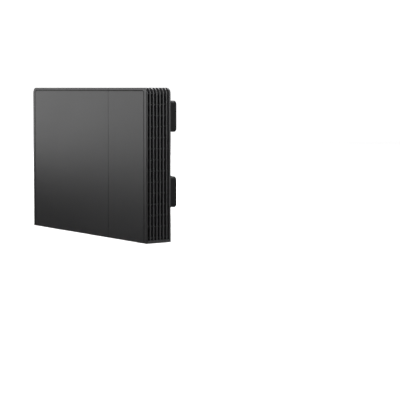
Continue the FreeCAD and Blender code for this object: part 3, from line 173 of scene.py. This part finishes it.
def shade(colour, factor):
    return tuple(min(1.0, channel * factor) for channel in colour)


def moulded(name, colour, rough, grain=50 * MICRON, vary=0.10, handling=0.02, paints_groove_shade=False):
    """Moulded plastic: a fine spark grain, a faint cloudiness and light handling marks.

    With paints_groove_shade, the inside of the cover's groove and seam gets painted shade: a darker colour
    that stands in for the shade inside the recess. It also gets a duller finish than the face.
    """
    material, shader = new_material(name)
    w = Weave(material)
    cloud = w.noise(28.0, 4.0)
    tone = w.mix(w.spread(cloud, 0.0, 1.0), shade(colour, 1 - vary), shade(colour, 1 + vary))
    handled = w.noise(9.0, 5.0)
    fine = w.noise(900.0, 2.0)
    rough_base = w.spread(handled, rough - handling, rough + handling)
    rough_all = w.math("ADD", rough_base, w.spread(fine, -0.03, 0.03))
    if paints_groove_shade:
        # painted shade: the groove darkens to 0.3 of the colour in place of the shade its walls would cast;
        # the added roughness is a duller finish
        deep = w.groove_shade_mask()
        tone = w.mix(deep, tone, shade(colour, 0.3))
        rough_all = w.math("ADD", rough_all, w.math("MULTIPLY", deep, 0.6))
    w.link(tone, shader.inputs["Base Color"])
    w.link(rough_all, shader.inputs["Roughness"])
    coarse = w.bump(w.cells(1700.0), grain)
    w.link(w.bump(w.noise(4200.0, 2.0), grain * 0.5, under=coarse), shader.inputs["Normal"])
    return material


def powder_coat(name, colour, rough=0.5, specular=0.4):
    """Powder coat on steel: soft orange peel with fine speckle."""
    material, shader = new_material(name)
    w = Weave(material)
    speck = w.spread(w.noise(2600.0, 2.0), 0.0, 1.0)
    w.link(w.mix(speck, shade(colour, 0.82), shade(colour, 1.25)), shader.inputs["Base Color"])
    w.link(w.spread(w.noise(120.0, 3.0), rough - 0.06, rough + 0.08), shader.inputs["Roughness"])
    peel = w.bump(w.noise(520.0, 2.0), 120 * MICRON)
    w.link(w.bump(w.cells(2300.0), 30 * MICRON, under=peel), shader.inputs["Normal"])
    shader.inputs["Specular IOR Level"].default_value = specular
    return material


def brushed(name, colour, rough, along):
    """Bare metal with fine lines along one axis and faint stains."""
    streak, lengthwise, crosswise = 0.08, 40.0, 2600.0
    material, shader = new_material(name)
    w = Weave(material)
    scale = tuple(lengthwise if axis == along else crosswise for axis in "xyz")
    lines = w.noise(1.0, 3.0, w.stretched(scale))
    stain = w.noise(45.0, 4.0)
    tone = w.mix(w.spread(stain, 0.0, 1.0), shade(colour, 0.9), shade(colour, 1.06))
    w.link(w.mix(w.spread(lines, 0.0, 0.35), tone, shade(colour, 0.75)), shader.inputs["Base Color"])
    w.link(w.spread(lines, rough - streak, rough + streak), shader.inputs["Roughness"])
    w.link(w.bump(lines, 20 * MICRON), shader.inputs["Normal"])
    shader.inputs["Metallic"].default_value = 1.0
    return material


def circuit(name, mask, trace):
    """Solder resist over copper: two layers of square traces, pours and gold-plated vias."""
    gold_plate = (0.78, 0.62, 0.28)
    material, shader = new_material(name)
    w = Weave(material)
    layers = []
    for vector in ((260.0, 1.0, 900.0), (900.0, 1.0, 260.0)):
        split = w.add("ShaderNodeSeparateColor")
        w.link(w.cells(1.0, w.stretched(vector), "Color"), split.inputs[0])
        layers.append(w.math("GREATER_THAN", split.outputs[0], 0.62))
    routes = w.math("MAXIMUM", *layers)
    pour = w.math("GREATER_THAN", w.noise(55.0, 1.0), 0.56)
    copper = w.math("MAXIMUM", w.math("MULTIPLY", routes, 0.75), w.math("MULTIPLY", pour, 0.55))
    base = w.mix(copper, mask, trace)
    vias = w.math("LESS_THAN", w.cells(620.0), 0.16)
    few = w.math("MULTIPLY", vias, w.math("GREATER_THAN", w.noise(90.0, 1.0), 0.5))
    w.link(w.mix(few, base, gold_plate), shader.inputs["Base Color"])
    w.link(w.math("MULTIPLY", few, 0.9), shader.inputs["Metallic"])
    w.link(w.spread(w.noise(300.0, 2.0), 0.26, 0.4), shader.inputs["Roughness"])
    raised = w.math("ADD", w.math("MULTIPLY", copper, 0.6), w.math("MULTIPLY", w.noise(1500.0), 0.4))
    w.link(w.bump(raised, 30 * MICRON), shader.inputs["Normal"])
    return material


def clear(name):
    """Clear plastic with a faint cloudiness."""
    material, shader = new_material(name)
    w = Weave(material)
    shader.inputs["Transmission Weight"].default_value = 0.85
    shader.inputs["IOR"].default_value = 1.49
    cloud = w.spread(w.noise(300.0), 0.0, 1.0)
    w.link(w.mix(cloud, (0.82, 0.85, 0.88), (0.9, 0.92, 0.95)), shader.inputs["Base Color"])
    w.link(w.spread(w.noise(900.0), 0.12, 0.28), shader.inputs["Roughness"])
    return material


CHARCOAL = (0.0105, 0.0105, 0.011)
FINE, COARSE, SMOOTH = 30 * MICRON, 60 * MICRON, 10 * MICRON  # grains of moulded plastic

LOOKS = {
    # True paints shade into the cover's groove
    "cover_plastic": moulded("charcoal_cover", CHARCOAL, 0.32, FINE, 0.06, 0.012, True),
    "grille_plastic": moulded("charcoal_grille", shade(CHARCOAL, 2.4), 0.42, FINE, 0.07),
    "panel_plastic": moulded("charcoal_panel", shade(CHARCOAL, 2.6), 0.5, COARSE, 0.1),
    "tray_steel": powder_coat("black_tray", (0.028, 0.028, 0.03)),
    # partly painted shade: real black powder coat, set darker still to stand in for the shade the mounted
    # bracket hangs in
    "bracket_steel": powder_coat("black_bracket_painted_shade", (0.008, 0.008, 0.0085), 0.55, 0.14),
    "screw_steel": brushed("zinc_screws", (0.5, 0.5, 0.52), 0.3, "z"),
    "plated_steel": brushed("plated_sheet", (0.42, 0.43, 0.44), 0.46, "z"),
    "post_brass": brushed("turned_brass", (0.66, 0.5, 0.24), 0.3, "y"),
    "post_plastic": moulded("black_posts", (0.022, 0.022, 0.023), 0.5),
    "control_plastic": moulded("grey_controls", (0.10, 0.10, 0.105), 0.38),
    "clear_plastic": clear("clear_pipe"),
    "board_resist": circuit("main_board", (0.006, 0.020, 0.016), (0.012, 0.052, 0.038)),
    "module_resist": circuit("module_board", (0.006, 0.045, 0.022), (0.014, 0.095, 0.045)),
    "package_resist": circuit("package_board", (0.01, 0.06, 0.035), (0.02, 0.11, 0.06)),
    "socket_plastic": moulded("black_sockets", (0.018, 0.018, 0.018), 0.42),
    "header_plastic": moulded("ivory_header", (0.72, 0.69, 0.6), 0.45),
    "socket_steel": brushed("socket_shells", (0.62, 0.62, 0.64), 0.26, "x"),
    "antenna_film": circuit("antenna_film", (0.04, 0.028, 0.01), (0.3, 0.18, 0.06)),
    "lead_rubber": moulded("lead_jacket", (0.02, 0.02, 0.021), 0.5),
    "cell_steel": brushed("cell_can", (0.66, 0.66, 0.66), 0.24, "x"),
    "choke_ferrite": moulded("choke_body", (0.09, 0.09, 0.092), 0.55),
    "copper": brushed("copper_parts", (0.75, 0.36, 0.2), 0.3, "x"),
    "fin_aluminium": brushed("fin_sheet", (0.75, 0.76, 0.78), 0.3, "z"),
    "blower_plastic": moulded("blower_shell", (0.02, 0.02, 0.021), 0.46),
    "rotor_plastic": moulded("rotor_blades", (0.026, 0.026, 0.028), 0.4),
    "drive_aluminium": brushed("drive_can", (0.6, 0.61, 0.63), 0.38, "x"),
    "caddy_plastic": moulded("caddy_body", (0.024, 0.024, 0.025), 0.5),
    "speaker_plastic": moulded("speaker_box", (0.022, 0.022, 0.023), 0.46),
}

GOLD = brushed("gold_contacts", (0.8, 0.56, 0.2), 0.24, "x")
TIN = brushed("solder_tin", (0.6, 0.6, 0.61), 0.36, "x")
TAN = moulded("ceramic_bodies", (0.26, 0.18, 0.12), 0.5)
DOT = moulded("chip_marks", (0.2, 0.2, 0.2), 0.6)
PAPER = moulded("label_stock", (0.50, 0.51, 0.53), 0.46, SMOOTH)
BAND = moulded("label_bands", (0.04, 0.14, 0.26), 0.42, SMOOTH)
AMBER = moulded("amber_lens", (0.65, 0.32, 0.03), 0.3, SMOOTH)
LEAF = moulded("green_lens", (0.08, 0.42, 0.1), 0.3, SMOOTH)

SLOT_OF = {part["node"]: part["material_slot"] for part in frame["record"]["subparts"]}
EDGE_MM = {
    "fin_stack": 0.0,
    "antenna_leads": 0.0,
    "blower_lead": 0.0,
    "blower_rotor": 0.12,
    "main_cover": 0.18,
    "port_cover": 0.18,
    "main_grille_side": 0.22,
    "main_grille_top": 0.22,
    "port_grille_side": 0.22,
    "port_grille_top": 0.22,
    "bracket_arm_lower": 0.5,
    "bracket_arm_upper": 0.5,
}
PLAIN_EDGE_MM = 0.15


def soften(thing, width, angle):
    """Rounds every edge that turns by more than an angle in degrees."""
    bevel = thing.modifiers.new("soft_edges", "BEVEL")
    bevel.width = width
    bevel.segments = 2
    bevel.limit_method = "ANGLE"
    bevel.angle_limit = math.radians(angle)
    return bevel


for node_name, thing in NODES.items():
    thing.data.materials.clear()
    thing.data.materials.append(LOOKS[SLOT_OF[node_name]])
    for face in thing.data.polygons:
        face.use_smooth = True
    weld = thing.modifiers.new("weld", "WELD")
    weld.merge_threshold = 2 * MICRON
    edge = EDGE_MM.get(node_name, PLAIN_EDGE_MM) * MM
    if edge:
        soften(thing, edge, 38).miter_outer = "MITER_ARC"
    normals = thing.modifiers.new("even_normals", "WEIGHTED_NORMAL")
    normals.weight = 100
    normals.keep_sharp = True


# ---------------------------------------------------------------- small solids, built point by point

FACING = -1.0  # parts on the board stand up towards -Y


class Batch:
    """Many small solids in one mesh. Each keeps the index of its material."""

    def __init__(self):
        self.mesh = bmesh.new()

    def loop(self, points):
        return [self.mesh.verts.new(point) for point in points]

    def stack(self, loops, index=0):
        """A closed skin through loops of equal length."""
        rows = [self.loop(points) for points in loops]
        faces = []
        for lower, upper in zip(rows, rows[1:]):
            for n in range(len(lower)):
                after = (n + 1) % len(lower)
                faces.append(self.mesh.faces.new((lower[n], lower[after], upper[after], upper[n])))
        faces.append(self.mesh.faces.new(rows[0][::-1]))
        faces.append(self.mesh.faces.new(rows[-1]))
        for face in faces:
            face.material_index = index
            face.smooth = True

    def package(self, x, z, half_x, half_z, base, tall, inset=0.12 * MM, index=0):
        """A moulded block that stands on a face towards -Y, with a draft and chamfered edges."""
        # a share of the height, and how far the outline steps back there
        levels = ((0.0, inset), (0.45, 0.0), (0.9, inset * 0.7), (1.0, inset * 1.9))
        loops = []
        for share, back in levels:
            y = base + FACING * tall * share
            a, b, cut = half_x - back, half_z - back, min(half_x, half_z) * 0.12
            ring = [(a - cut, -b), (a, -b + cut), (a, b - cut), (a - cut, b)]
            ring += [(-a + cut, b), (-a, b - cut), (-a, -b + cut), (-a + cut, -b)]
            loops.append([(x + u, y, z + v) for u, v in ring])
        self.stack(loops, index)

    def turned(self, centre, axis, profile, turns, index=0):
        """A lathe shape. profile holds (radius, distance along the axis)."""
        axis = Vector(axis).normalized()
        side = axis.orthogonal().normalized()
        up = axis.cross(side)
        loops = []
        for radius, along in profile:
            ring = []
            for turn in range(turns):
                angle = 2 * math.pi * turn / turns
                outward = side * math.cos(angle) + up * math.sin(angle)
                ring.append(Vector(centre) + axis * along + outward * radius)
            loops.append(ring)
        self.stack(loops, index)

    def strip(self, path, across, thick, index=0):
        """A flat strip that follows a path of points, with a width vector and a thickness vector."""
        across, thick = Vector(across) / 2, Vector(thick)
        loops = []
        for point in path:
            point = Vector(point)
            left, right = point - across, point + across
            loops.append([left, right, right + thick, left + thick])
        self.stack(loops, index)

    def finish(self, name, body, slot, materials, bevel=0.0):
        """Makes the mesh an object that rides on a body, with an optional bevel width."""
        bmesh.ops.recalc_face_normals(self.mesh, faces=self.mesh.faces)
        data = bpy.data.meshes.new(name)
        self.mesh.to_mesh(data)
        self.mesh.free()
        made = bpy.data.objects.new(name, data)
        bpy.context.collection.objects.link(made)
        for material in materials:
            data.materials.append(material)
        if bevel:
            soften(made, bevel, 30)
        normals = made.modifiers.new("even_normals", "WEIGHTED_NORMAL")
        normals.keep_sharp = True
        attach(made, body)


# ---------------------------------------------------------------- what is near the board


class Obstacles:
    """Tells whether a small box is clear of every CAD piece that isn't left out."""

    def __init__(self, leave_out):
        points, faces = [], []
        for node_name, thing in NODES.items():
            if node_name in leave_out:
                continue
            start = len(points)
            points += [vertex.co.copy() for vertex in thing.data.vertices]
            faces += [[start + n for n in face.vertices] for face in thing.data.polygons]
        self.tree = BVHTree.FromPolygons(points, faces)

    def inside(self, point):
        """Whether the first surface in front of a point is met from within."""
        hit, normal, _, _ = self.tree.ray_cast(Vector(point), Vector((0.0, FACING, 0.0)))
        return hit is not None and normal.y * FACING > 0

    def clear(self, low, high):
        """Whether the box between two corners neither crosses a surface nor lies inside a piece."""
        corners = [(x, y, z) for x in (low[0], high[0]) for y in (low[1], high[1]) for z in (low[2], high[2])]
        sides = [(0, 1, 3, 2), (4, 6, 7, 5), (0, 4, 5, 1), (2, 3, 7, 6), (0, 2, 6, 4), (1, 5, 7, 3)]
        if self.tree.overlap(BVHTree.FromPolygons(corners, sides)):
            return False
        middle = tuple((a + b) / 2 for a, b in zip(low, high))
        return not any(self.inside(point) for point in corners + [middle])


class Layout:
    """Places parts on a board without letting them meet each other or a CAD piece."""

    def __init__(self, board, obstacles):
        self.low, self.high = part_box(board)
        self.obstacles = obstacles
        self.taken = []

    def free(self, x, z, half_x, half_z, tall):
        """Whether a part at (x, z) lies on the board, off the other parts and off the CAD pieces."""
        board_margin, gap, off_board = 1.2 * MM, 0.4 * MM, 0.05 * MM
        margin_x, margin_z = half_x + board_margin, half_z + board_margin
        if not self.low.x + margin_x < x < self.high.x - margin_x:
            return False
        if not self.low.z + margin_z < z < self.high.z - margin_z:
            return False
        for other_x, other_z, other_half_x, other_half_z in self.taken:
            near_x = abs(x - other_x) < half_x + other_half_x + gap / 2
            near_z = abs(z - other_z) < half_z + other_half_z + gap / 2
            if near_x and near_z:
                return False
        front = self.low.y
        low = (x - half_x - gap, front + FACING * (tall + gap), z - half_z - gap)
        high = (x + half_x + gap, front + FACING * off_board, z + half_z + gap)
        return self.obstacles.clear(low, high)

    def find(self, half_x, half_z, tall, tries=60):
        """A free place for a part, tried at random, or None. The place counts as taken from then on."""
        for _ in range(tries):
            x = random.uniform(self.low.x, self.high.x)
            z = random.uniform(self.low.z, self.high.z)
            if self.free(x, z, half_x, half_z, tall):
                self.taken.append((x, z, half_x, half_z))
                return x, z
        return None


random.seed(41)
board_layout = Layout("motherboard", Obstacles({"motherboard", "main_cover", "port_cover"}))
board_front = board_layout.low.y


def add_square_chips(chips):
    """Large square chips, each with a dot at the corner of its first pad."""
    dot_profile = ((0.45 * MM, -0.02 * MM), (0.4 * MM, 0.015 * MM))
    for half, tall in ((6.5, 1.1), (5.0, 1.0), (4.5, 1.0), (3.5, 0.9), (3.5, 0.9), (3.0, 0.85), (3.0, 0.85)):
        spot = board_layout.find(half * MM, half * MM, tall * MM, 200)
        if spot is None:
            continue
        x, z = spot
        chips.package(x, z, half * MM, half * MM, board_front, tall * MM, 0.15 * MM)
        to_dot = half * 0.72 * MM
        dot = (x - to_dot, board_front + FACING * tall * MM, z + to_dot)
        chips.turned(dot, (0, FACING, 0), dot_profile, 14, 1)


def add_small_chips(chips):
    """Small chips. The longest kind has four bent leads on each long side."""
    lead_pitch, lead_width, lead_thickness = 1.27 * MM, 0.4 * MM, 0.12 * MM
    bend = ((-0.1, 0.8), (0.3, 0.8), (0.5, 0.16), (1.0, 0.14))
    for _ in range(18):
        half_x, half_z, tall = random.choice(((2.5, 1.95, 1.5), (1.5, 1.5, 0.9), (2.0, 2.0, 0.8)))
        leads = half_x > half_z
        reach = 1.0 * MM if leads else 0.15 * MM
        spot = board_layout.find(half_x * MM, half_z * MM + reach, tall * MM)
        if spot is None:
            continue
        x, z = spot
        chips.package(x, z, half_x * MM, half_z * MM, board_front, tall * MM)
        if not leads:
            continue
        for n in range(4):
            lead_x = x + (n - 1.5) * lead_pitch
            for side in (-1, 1):
                edge = z + side * half_z * MM
                path = []
                for out, up in bend:
                    path.append((lead_x, board_front + FACING * up * MM, edge + side * out * MM))
                chips.strip(path, (lead_width, 0, 0), (0, -FACING * lead_thickness, 0), 2)


def add_passives(passives):
    """Resistors and capacitors with tinned ends, across or along the board."""
    sizes = ((1.6, 0.8, 0.5), (1.0, 0.5, 0.4), (1.0, 0.5, 0.4), (2.0, 1.25, 0.9))
    body_share = 0.96
    for _ in range(460):
        length, width, tall = random.choice(sizes)
        upright = random.random() < 0.5
        half_x, half_z = (width / 2, length / 2) if upright else (length / 2, width / 2)
        spot = board_layout.find(half_x * MM, half_z * MM, tall * MM, 25)
        if spot is None:
            continue
        x, z = spot
        colour = random.choice((0, 0, 1))
        ends = 0.22 * length
        core = (length / 2 - ends) * MM
        body_x = half_x * body_share * MM if upright else core
        body_z = core if upright else half_z * body_share * MM
        passives.package(x, z, body_x, body_z, board_front, tall * 0.95 * MM, 0.02 * MM, colour)
        for side in (-1, 1):
            shift = side * (length / 2 - ends / 2) * MM
            cap = ends / 2 * MM
            if upright:
                passives.package(x, z + shift, half_x * MM, cap, board_front, tall * MM, 0.03 * MM, 2)
            else:
                passives.package(x + shift, z, cap, half_z * MM, board_front, tall * MM, 0.03 * MM, 2)


def add_cans(cans):
    """Round capacitor cans with a crimped waist, each on a square black foot."""
    waist = ((0.9, 0.65), (0.9, 0.9), (0.98, 1.0), (0.98, 1.3), (0.9, 1.4), (0.98, 1.5))
    for _ in range(9):
        radius, tall = random.choice(((2.0, 3.0), (2.5, 3.4)))
        spot = board_layout.find((radius + 0.3) * MM, (radius + 0.3) * MM, tall * MM, 120)
        if spot is None:
            continue
        x, z = spot
        half_foot = (radius + 0.15) * MM
        cans.package(x, z, half_foot, half_foot, board_front, 0.7 * MM, 0.05 * MM, 1)
        profile = (*waist, (0.98, tall - 0.3), (0.88, tall), (0.6, tall))
        shape = [(radius * share * MM, along * MM) for share, along in profile]
        cans.turned((x, board_front, z), (0, FACING, 0), shape, 28)


def add_plugs(plugs):
    """Pin headers with a low floor between two upright walls."""
    pitch, wall_at, half_wall, half_pin, draft = 1.5 * MM, 1.5 * MM, 0.4 * MM, 0.25 * MM, 0.05 * MM
    for pins in (4, 3, 5, 2):
        half_x, half_z, tall = (pins * 0.75 + 0.9) * MM, 1.9 * MM, 2.6 * MM
        spot = board_layout.find(half_x, half_z, tall, 200)
        if spot is None:
            continue
        x, z = spot
        for wall_z in (z - wall_at, z + wall_at):
            plugs.package(x, wall_z, half_x, half_wall, board_front, tall, draft)
        plugs.package(x, z, half_x, half_z, board_front, 0.9 * MM, draft)
        for n in range(pins):
            pin_x = x + (n - (pins - 1) / 2) * pitch
            plugs.package(pin_x, z, half_pin, half_pin, board_front + FACING * 0.8 * MM, 1.5 * MM, draft, 1)


def dress_board():
    """Chips, passives, cans and small plugs over the free area of the main board."""
    chips, passives, cans, plugs = Batch(), Batch(), Batch(), Batch()
    add_square_chips(chips)
    add_small_chips(chips)
    add_passives(passives)
    add_cans(cans)
    add_plugs(plugs)
    black, steel = LOOKS["socket_plastic"], LOOKS["socket_steel"]
    chips.finish("board_chips", "case", "socket_plastic", [black, DOT, TIN], 0.04 * MM)
    passives.finish("board_passives", "case", "choke_ferrite", [TAN, black, TIN])
    cans.finish("board_capacitor_cans", "case", "socket_steel", [steel, black])
    plugs.finish("board_plugs", "case", "header_plastic", [LOOKS["header_plastic"], GOLD])


def rounded_ring(low, high, corner=1.2 * MM):
    """The outline of a rectangle with round corners. low and high are opposite corners."""
    steps = 5
    ring = []
    centres = (
        (high[0] - corner, low[1] + corner),
        (high[0] - corner, high[1] - corner),
        (low[0] + corner, high[1] - corner),
        (low[0] + corner, low[1] + corner),
    )
    for quarter, (x, z) in enumerate(centres):
        for step in range(steps + 1):
            angle = math.pi / 2 * (quarter - 1 + step / steps)
            ring.append((x + corner * math.cos(angle), z + corner * math.sin(angle)))
    return ring


def label(name, body, node, span_x, span_z, band):
    """A blank sticker with a colour band on the front of a node, placed by shares of the node's box."""
    low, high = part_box(node)
    start = [low.x + (high.x - low.x) * span_x[0], low.z + (high.z - low.z) * span_z[0]]
    end = [low.x + (high.x - low.x) * span_x[1], low.z + (high.z - low.z) * span_z[1]]
    batch = Batch()
    lift = 0.08 * MM
    ring = rounded_ring(start, end)
    batch.stack([[(x, low.y + FACING * rise, z) for x, z in ring] for rise in (0.0, lift * 0.7, lift)])
    edge = 2.0 * MM
    start = [start[0] + edge, end[1] - edge - (end[1] - start[1]) * band]
    end = [end[0] - edge, end[1] - edge]
    ring = rounded_ring(start, end, 0.6 * MM)
    batch.stack([[(x, low.y + FACING * rise, z) for x, z in ring] for rise in (lift, lift * 1.3)], 1)
    batch.finish(name, body, "header_plastic", [PAPER, BAND])


def contacts(name, node, count, pitch, size, across_z, depth, lift):
    """A row of gold springs inside a socket that opens towards +X.

    across_z is the row's middle along Z, depth its reach behind the opening, and lift its height along Y.
    """
    _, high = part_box(node)
    batch = Batch()
    for n in range(count):
        z = across_z + (n - (count - 1) / 2) * pitch
        path = [
            (high.x - depth, lift, z),
            (high.x - depth * 0.72, lift + 0.1 * MM, z),
            (high.x - depth * 0.3, lift, z),
        ]
        batch.strip(path, (0, 0, size), (0, 0.12 * MM, 0))
    batch.finish(name, "case", "post_brass", [GOLD])


def dress_network_jack():
    """Springs in the network jack, and its two lights."""
    low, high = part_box("network_jack")
    middle = (low.z + high.z) / 2
    contacts("network_springs", "network_jack", 8, 1.02 * MM, 0.4 * MM, middle, 12 * MM, low.y + 2.4 * MM)
    lights = Batch()
    for side in (-1, 1):
        z = middle + side * 5.4 * MM
        half_wide = 1.4 * MM
        start, end = (low.y + 0.5 * MM, z - half_wide), (low.y + 1.7 * MM, z + half_wide)
        ring = rounded_ring(start, end, 0.4 * MM)
        levels = (0.0, 0.25 * MM, 0.35 * MM)
        lights.stack([[(high.x + rise, y, z_at) for y, z_at in ring] for rise in levels], (side + 1) // 2)
    lights.finish("network_lights", "case", "clear_plastic", [AMBER, LEAF])


def dress_usb_stacks():
    """Four pads in each of the two sockets of both stacks."""
    half_stack = 7.2 * MM
    low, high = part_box("usb_stacks")
    for stack, z in enumerate((low.z + half_stack, high.z - half_stack)):
        for level, up in enumerate((4.6 * MM, 12.2 * MM)):
            pads = f"usb_pads_{stack}_{level}"
            contacts(pads, "usb_stacks", 4, 2.3 * MM, 1.0 * MM, z, 9 * MM, high.y - up)


def dress_bracket():
    """Spot weld marks on the back of each arm, where the web is joined to its inside."""
    from_side, from_end = 8 * MM, 12 * MM
    web_low, web_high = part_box("bracket_web")
    marks = Batch()
    profile = ((3.1, 0.0), (3.0, 0.05), (2.5, 0.10), (2.0, 0.05), (0.7, 0.03))
    shape = [(radius * MM, rise * MM) for radius, rise in profile]
    for arm in ("bracket_arm_lower", "bracket_arm_upper"):
        low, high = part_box(arm)
        for x in (web_low.x + from_side, 0.0, web_high.x - from_side):
            for z in (low.z + from_end, high.z - from_end):
                marks.turned((x, high.y, z), (0, 1, 0), shape, 28)
    marks.finish("bracket_welds", "case", "bracket_steel", [LOOKS["bracket_steel"]])


def dress_moving_parts():
    """A label on the drive and a blank round sticker in the rotor's dish."""
    label("drive_label", "caddy", "storage_drive", (0.18, 0.92), (0.1, 0.9), 0.2)
    low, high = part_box("blower_rotor")
    dish = 0.5 * MM
    centre = ((low.x + high.x) / 2, low.y + dish, (low.z + high.z) / 2)
    profile = ((9.2 * MM, 0.0), (9.2 * MM, 0.06 * MM), (9.0 * MM, 0.08 * MM))
    sticker = Batch()
    sticker.turned(centre, (0, FACING, 0), profile, 48)
    sticker.finish("rotor_sticker", "rotor", "header_plastic", [PAPER])


dress_board()
dress_network_jack()
dress_usb_stacks()
dress_bracket()
dress_moving_parts()
label("ssd_label", "case", "ssd_module", (0.1, 0.84), (0.2, 0.8), 0.25)
label("memory_label", "case", "memory_module_upper", (0.1, 0.46), (0.06, 0.94), 0.1)


# ---------------------------------------------------------------- stage, lights and camera


FLOOR_GAP = 0.3 * MM  # between the foot and the floor
NEAR_GLOW, FAR_GLOW = 0.5, 1.15  # the floor's own light near the case and at the wall
GLOW_REACH = (0.4, 3.6)  # the distances between which it grows


def floor_material():
    """Pale grey that glows more with distance, and is open where it is seen from behind."""
    material, shader = new_material("pale_floor")
    w = Weave(material)
    pale = w.mix(w.spread(w.noise(3.0), 0.0, 1.0), (0.80, 0.80, 0.80), (0.83, 0.83, 0.83))
    w.link(pale, shader.inputs["Base Color"])
    w.link(pale, shader.inputs["Emission Color"])
    away = w.add("ShaderNodeVectorMath", operation="LENGTH")
    w.link(w.where, away.inputs[0])
    glow = w.spread(away.outputs["Value"], NEAR_GLOW, FAR_GLOW, GLOW_REACH)
    w.link(glow, shader.inputs["Emission Strength"])
    shader.inputs["Roughness"].default_value = 0.85
    shader.inputs["Specular IOR Level"].default_value = 0.1
    side = w.add("ShaderNodeNewGeometry")
    open_side = w.add("ShaderNodeBsdfTransparent")
    either = w.add("ShaderNodeMixShader")
    w.link(side.outputs["Backfacing"], either.inputs[0])
    w.link(shader.outputs[0], either.inputs[1])
    w.link(open_side.outputs[0], either.inputs[2])
    w.link(either.outputs[0], material.node_tree.nodes["Material Output"].inputs["Surface"])
    return material


def backdrop():
    """A floor that curves up into a wall all round, left out of reflections and bounced light."""
    flat, bend, top = 3.2, 1.2, 8.0
    steps, turns = 12, 72
    profile = [(0.02, 0.0), (flat * 0.5, 0.0), (flat, 0.0)]
    for step in range(1, steps + 1):
        angle = math.pi / 2 * step / steps
        profile.append((flat + bend * math.sin(angle), bend * (1 - math.cos(angle))))
    profile.append((flat + bend, top))
    mesh = bmesh.new()
    rings = []
    for radius, height in profile:
        ring = []
        for turn in range(turns):
            angle = 2 * math.pi * turn / turns
            ring.append(mesh.verts.new((radius * math.cos(angle), radius * math.sin(angle), height)))
        rings.append(ring)
    for inner, outer in zip(rings, rings[1:]):
        for turn in range(turns):
            after = (turn + 1) % turns
            mesh.faces.new((inner[turn], outer[turn], outer[after], inner[after])).smooth = True
    mesh.faces.new(rings[0])
    data = bpy.data.meshes.new("floor")
    mesh.to_mesh(data)
    mesh.free()
    floor = bpy.data.objects.new("floor", data)
    bpy.context.collection.objects.link(floor)
    data.materials.append(floor_material())
    floor.location.z = -FLOOR_GAP
    floor.visible_glossy = False
    floor.visible_diffuse = False
    floor.visible_shadow = False


def softbox(name, place, target, width, height, power):
    """A rectangular lamp at a place, turned to a target."""
    lamp = bpy.data.lights.new(name, "AREA")
    lamp.shape = "RECTANGLE"
    lamp.size, lamp.size_y = width, height
    lamp.energy = power
    box = bpy.data.objects.new(name, lamp)
    box.location = place
    box.rotation_mode = "QUATERNION"
    box.rotation_quaternion = (Vector(target) - Vector(place)).to_track_quat("-Z", "Y")
    box.visible_camera = False
    bpy.context.collection.objects.link(box)
    return box


def upright_box(name, bearing, reach, low_edge, tall, wide, power, roll=0.0):
    """A softbox that stands on its lower edge at a bearing from the case, and faces it."""
    place = (reach * bearing[0], reach * bearing[1], low_edge + tall / 2)
    box = softbox(name, place, (0.0, 0.0, low_edge + tall / 2), wide, tall, power)
    box.rotation_quaternion = box.rotation_quaternion @ Quaternion((0.0, 0.0, 1.0), math.radians(roll))


def graded_world():
    """A world that is dark at eye level and brightens towards the zenith and towards the ground."""
    dim = 0.015
    world = bpy.data.worlds.new("studio")
    bpy.context.scene.world = world
    world.use_nodes = True
    tree = world.node_tree
    where = tree.nodes.new("ShaderNodeTexCoord")
    axes = tree.nodes.new("ShaderNodeSeparateXYZ")
    total = tree.nodes.new("ShaderNodeMath")
    tree.links.new(where.outputs["Generated"], axes.inputs[0])
    tree.links.new(total.outputs[0], tree.nodes["Background"].inputs["Strength"])
    for term, (start, end, brightness) in enumerate(((0.1, 0.7, 0.8), (-0.25, -0.5, 14.0))):
        ramp = tree.nodes.new("ShaderNodeMapRange")
        ramp.interpolation_type = "SMOOTHSTEP"
        ramp.inputs["From Min"].default_value = start
        ramp.inputs["From Max"].default_value = end
        ramp.inputs["To Min"].default_value = dim
        ramp.inputs["To Max"].default_value = brightness
        tree.links.new(axes.outputs["Z"], ramp.inputs["Value"])
        tree.links.new(ramp.outputs["Result"], total.inputs[term])


def aim_camera():
    """A long lens level with the top of the case, looking at its front right corner from the port side."""
    lens, sensor = 119.6, 36.0
    shift = -0.1
    corner = Vector((cad_high.x, cad_low.y, cad_high.z))
    from_corner = Vector((1.3780, -0.9299, 0.0))
    camera_data = bpy.data.cameras.new("camera")
    camera_data.lens, camera_data.sensor_width = lens, sensor
    camera_data.shift_y = shift
    camera_data.clip_end = 30.0
    camera = bpy.data.objects.new("camera", camera_data)
    camera.location = corner + from_corner
    horizon_above_middle = 0.2808
    focal = lens / sensor
    tilt = math.atan((horizon_above_middle + shift) / focal)
    heading = Vector((-0.8057, 0.5923, 0.0)).normalized()
    look = heading * math.cos(tilt) - Vector((0.0, 0.0, 1.0)) * math.sin(tilt)
    camera.rotation_mode = "QUATERNION"
    camera.rotation_quaternion = look.to_track_quat("-Z", "Y")
    bpy.context.collection.objects.link(camera)
    bpy.context.scene.camera = camera


backdrop()
upright_box("left_box", (-0.75, -0.66), 0.85, 0.034, 0.95, 0.95, 4.9, -4.5)
upright_box("right_box", (0.802, 0.597), 0.9, 0.11, 0.8, 0.8, 4.2)
upright_box("front_box", (0.0, -1.0), 1.3, 0.1, 0.9, 0.9, 4.0)
upright_box("side_box", (1.0, 0.0), 1.3, 0.1, 0.9, 0.9, 4.0)
softbox("top_box", (0.0, -0.2, 2.4), (0.0, 0.0, 0.0), 2.4, 2.4, 30)
softbox("front_fill", (0.5, -1.7, 1.5), (0.0, 0.0, 0.1), 1.2, 1.0, 45)
softbox("rear_fill", (-0.7, 1.7, 1.4), (0.0, 0.0, 0.1), 1.2, 1.0, 60)
graded_world()
aim_camera()
bpy.context.scene.view_settings.view_transform = "Standard"
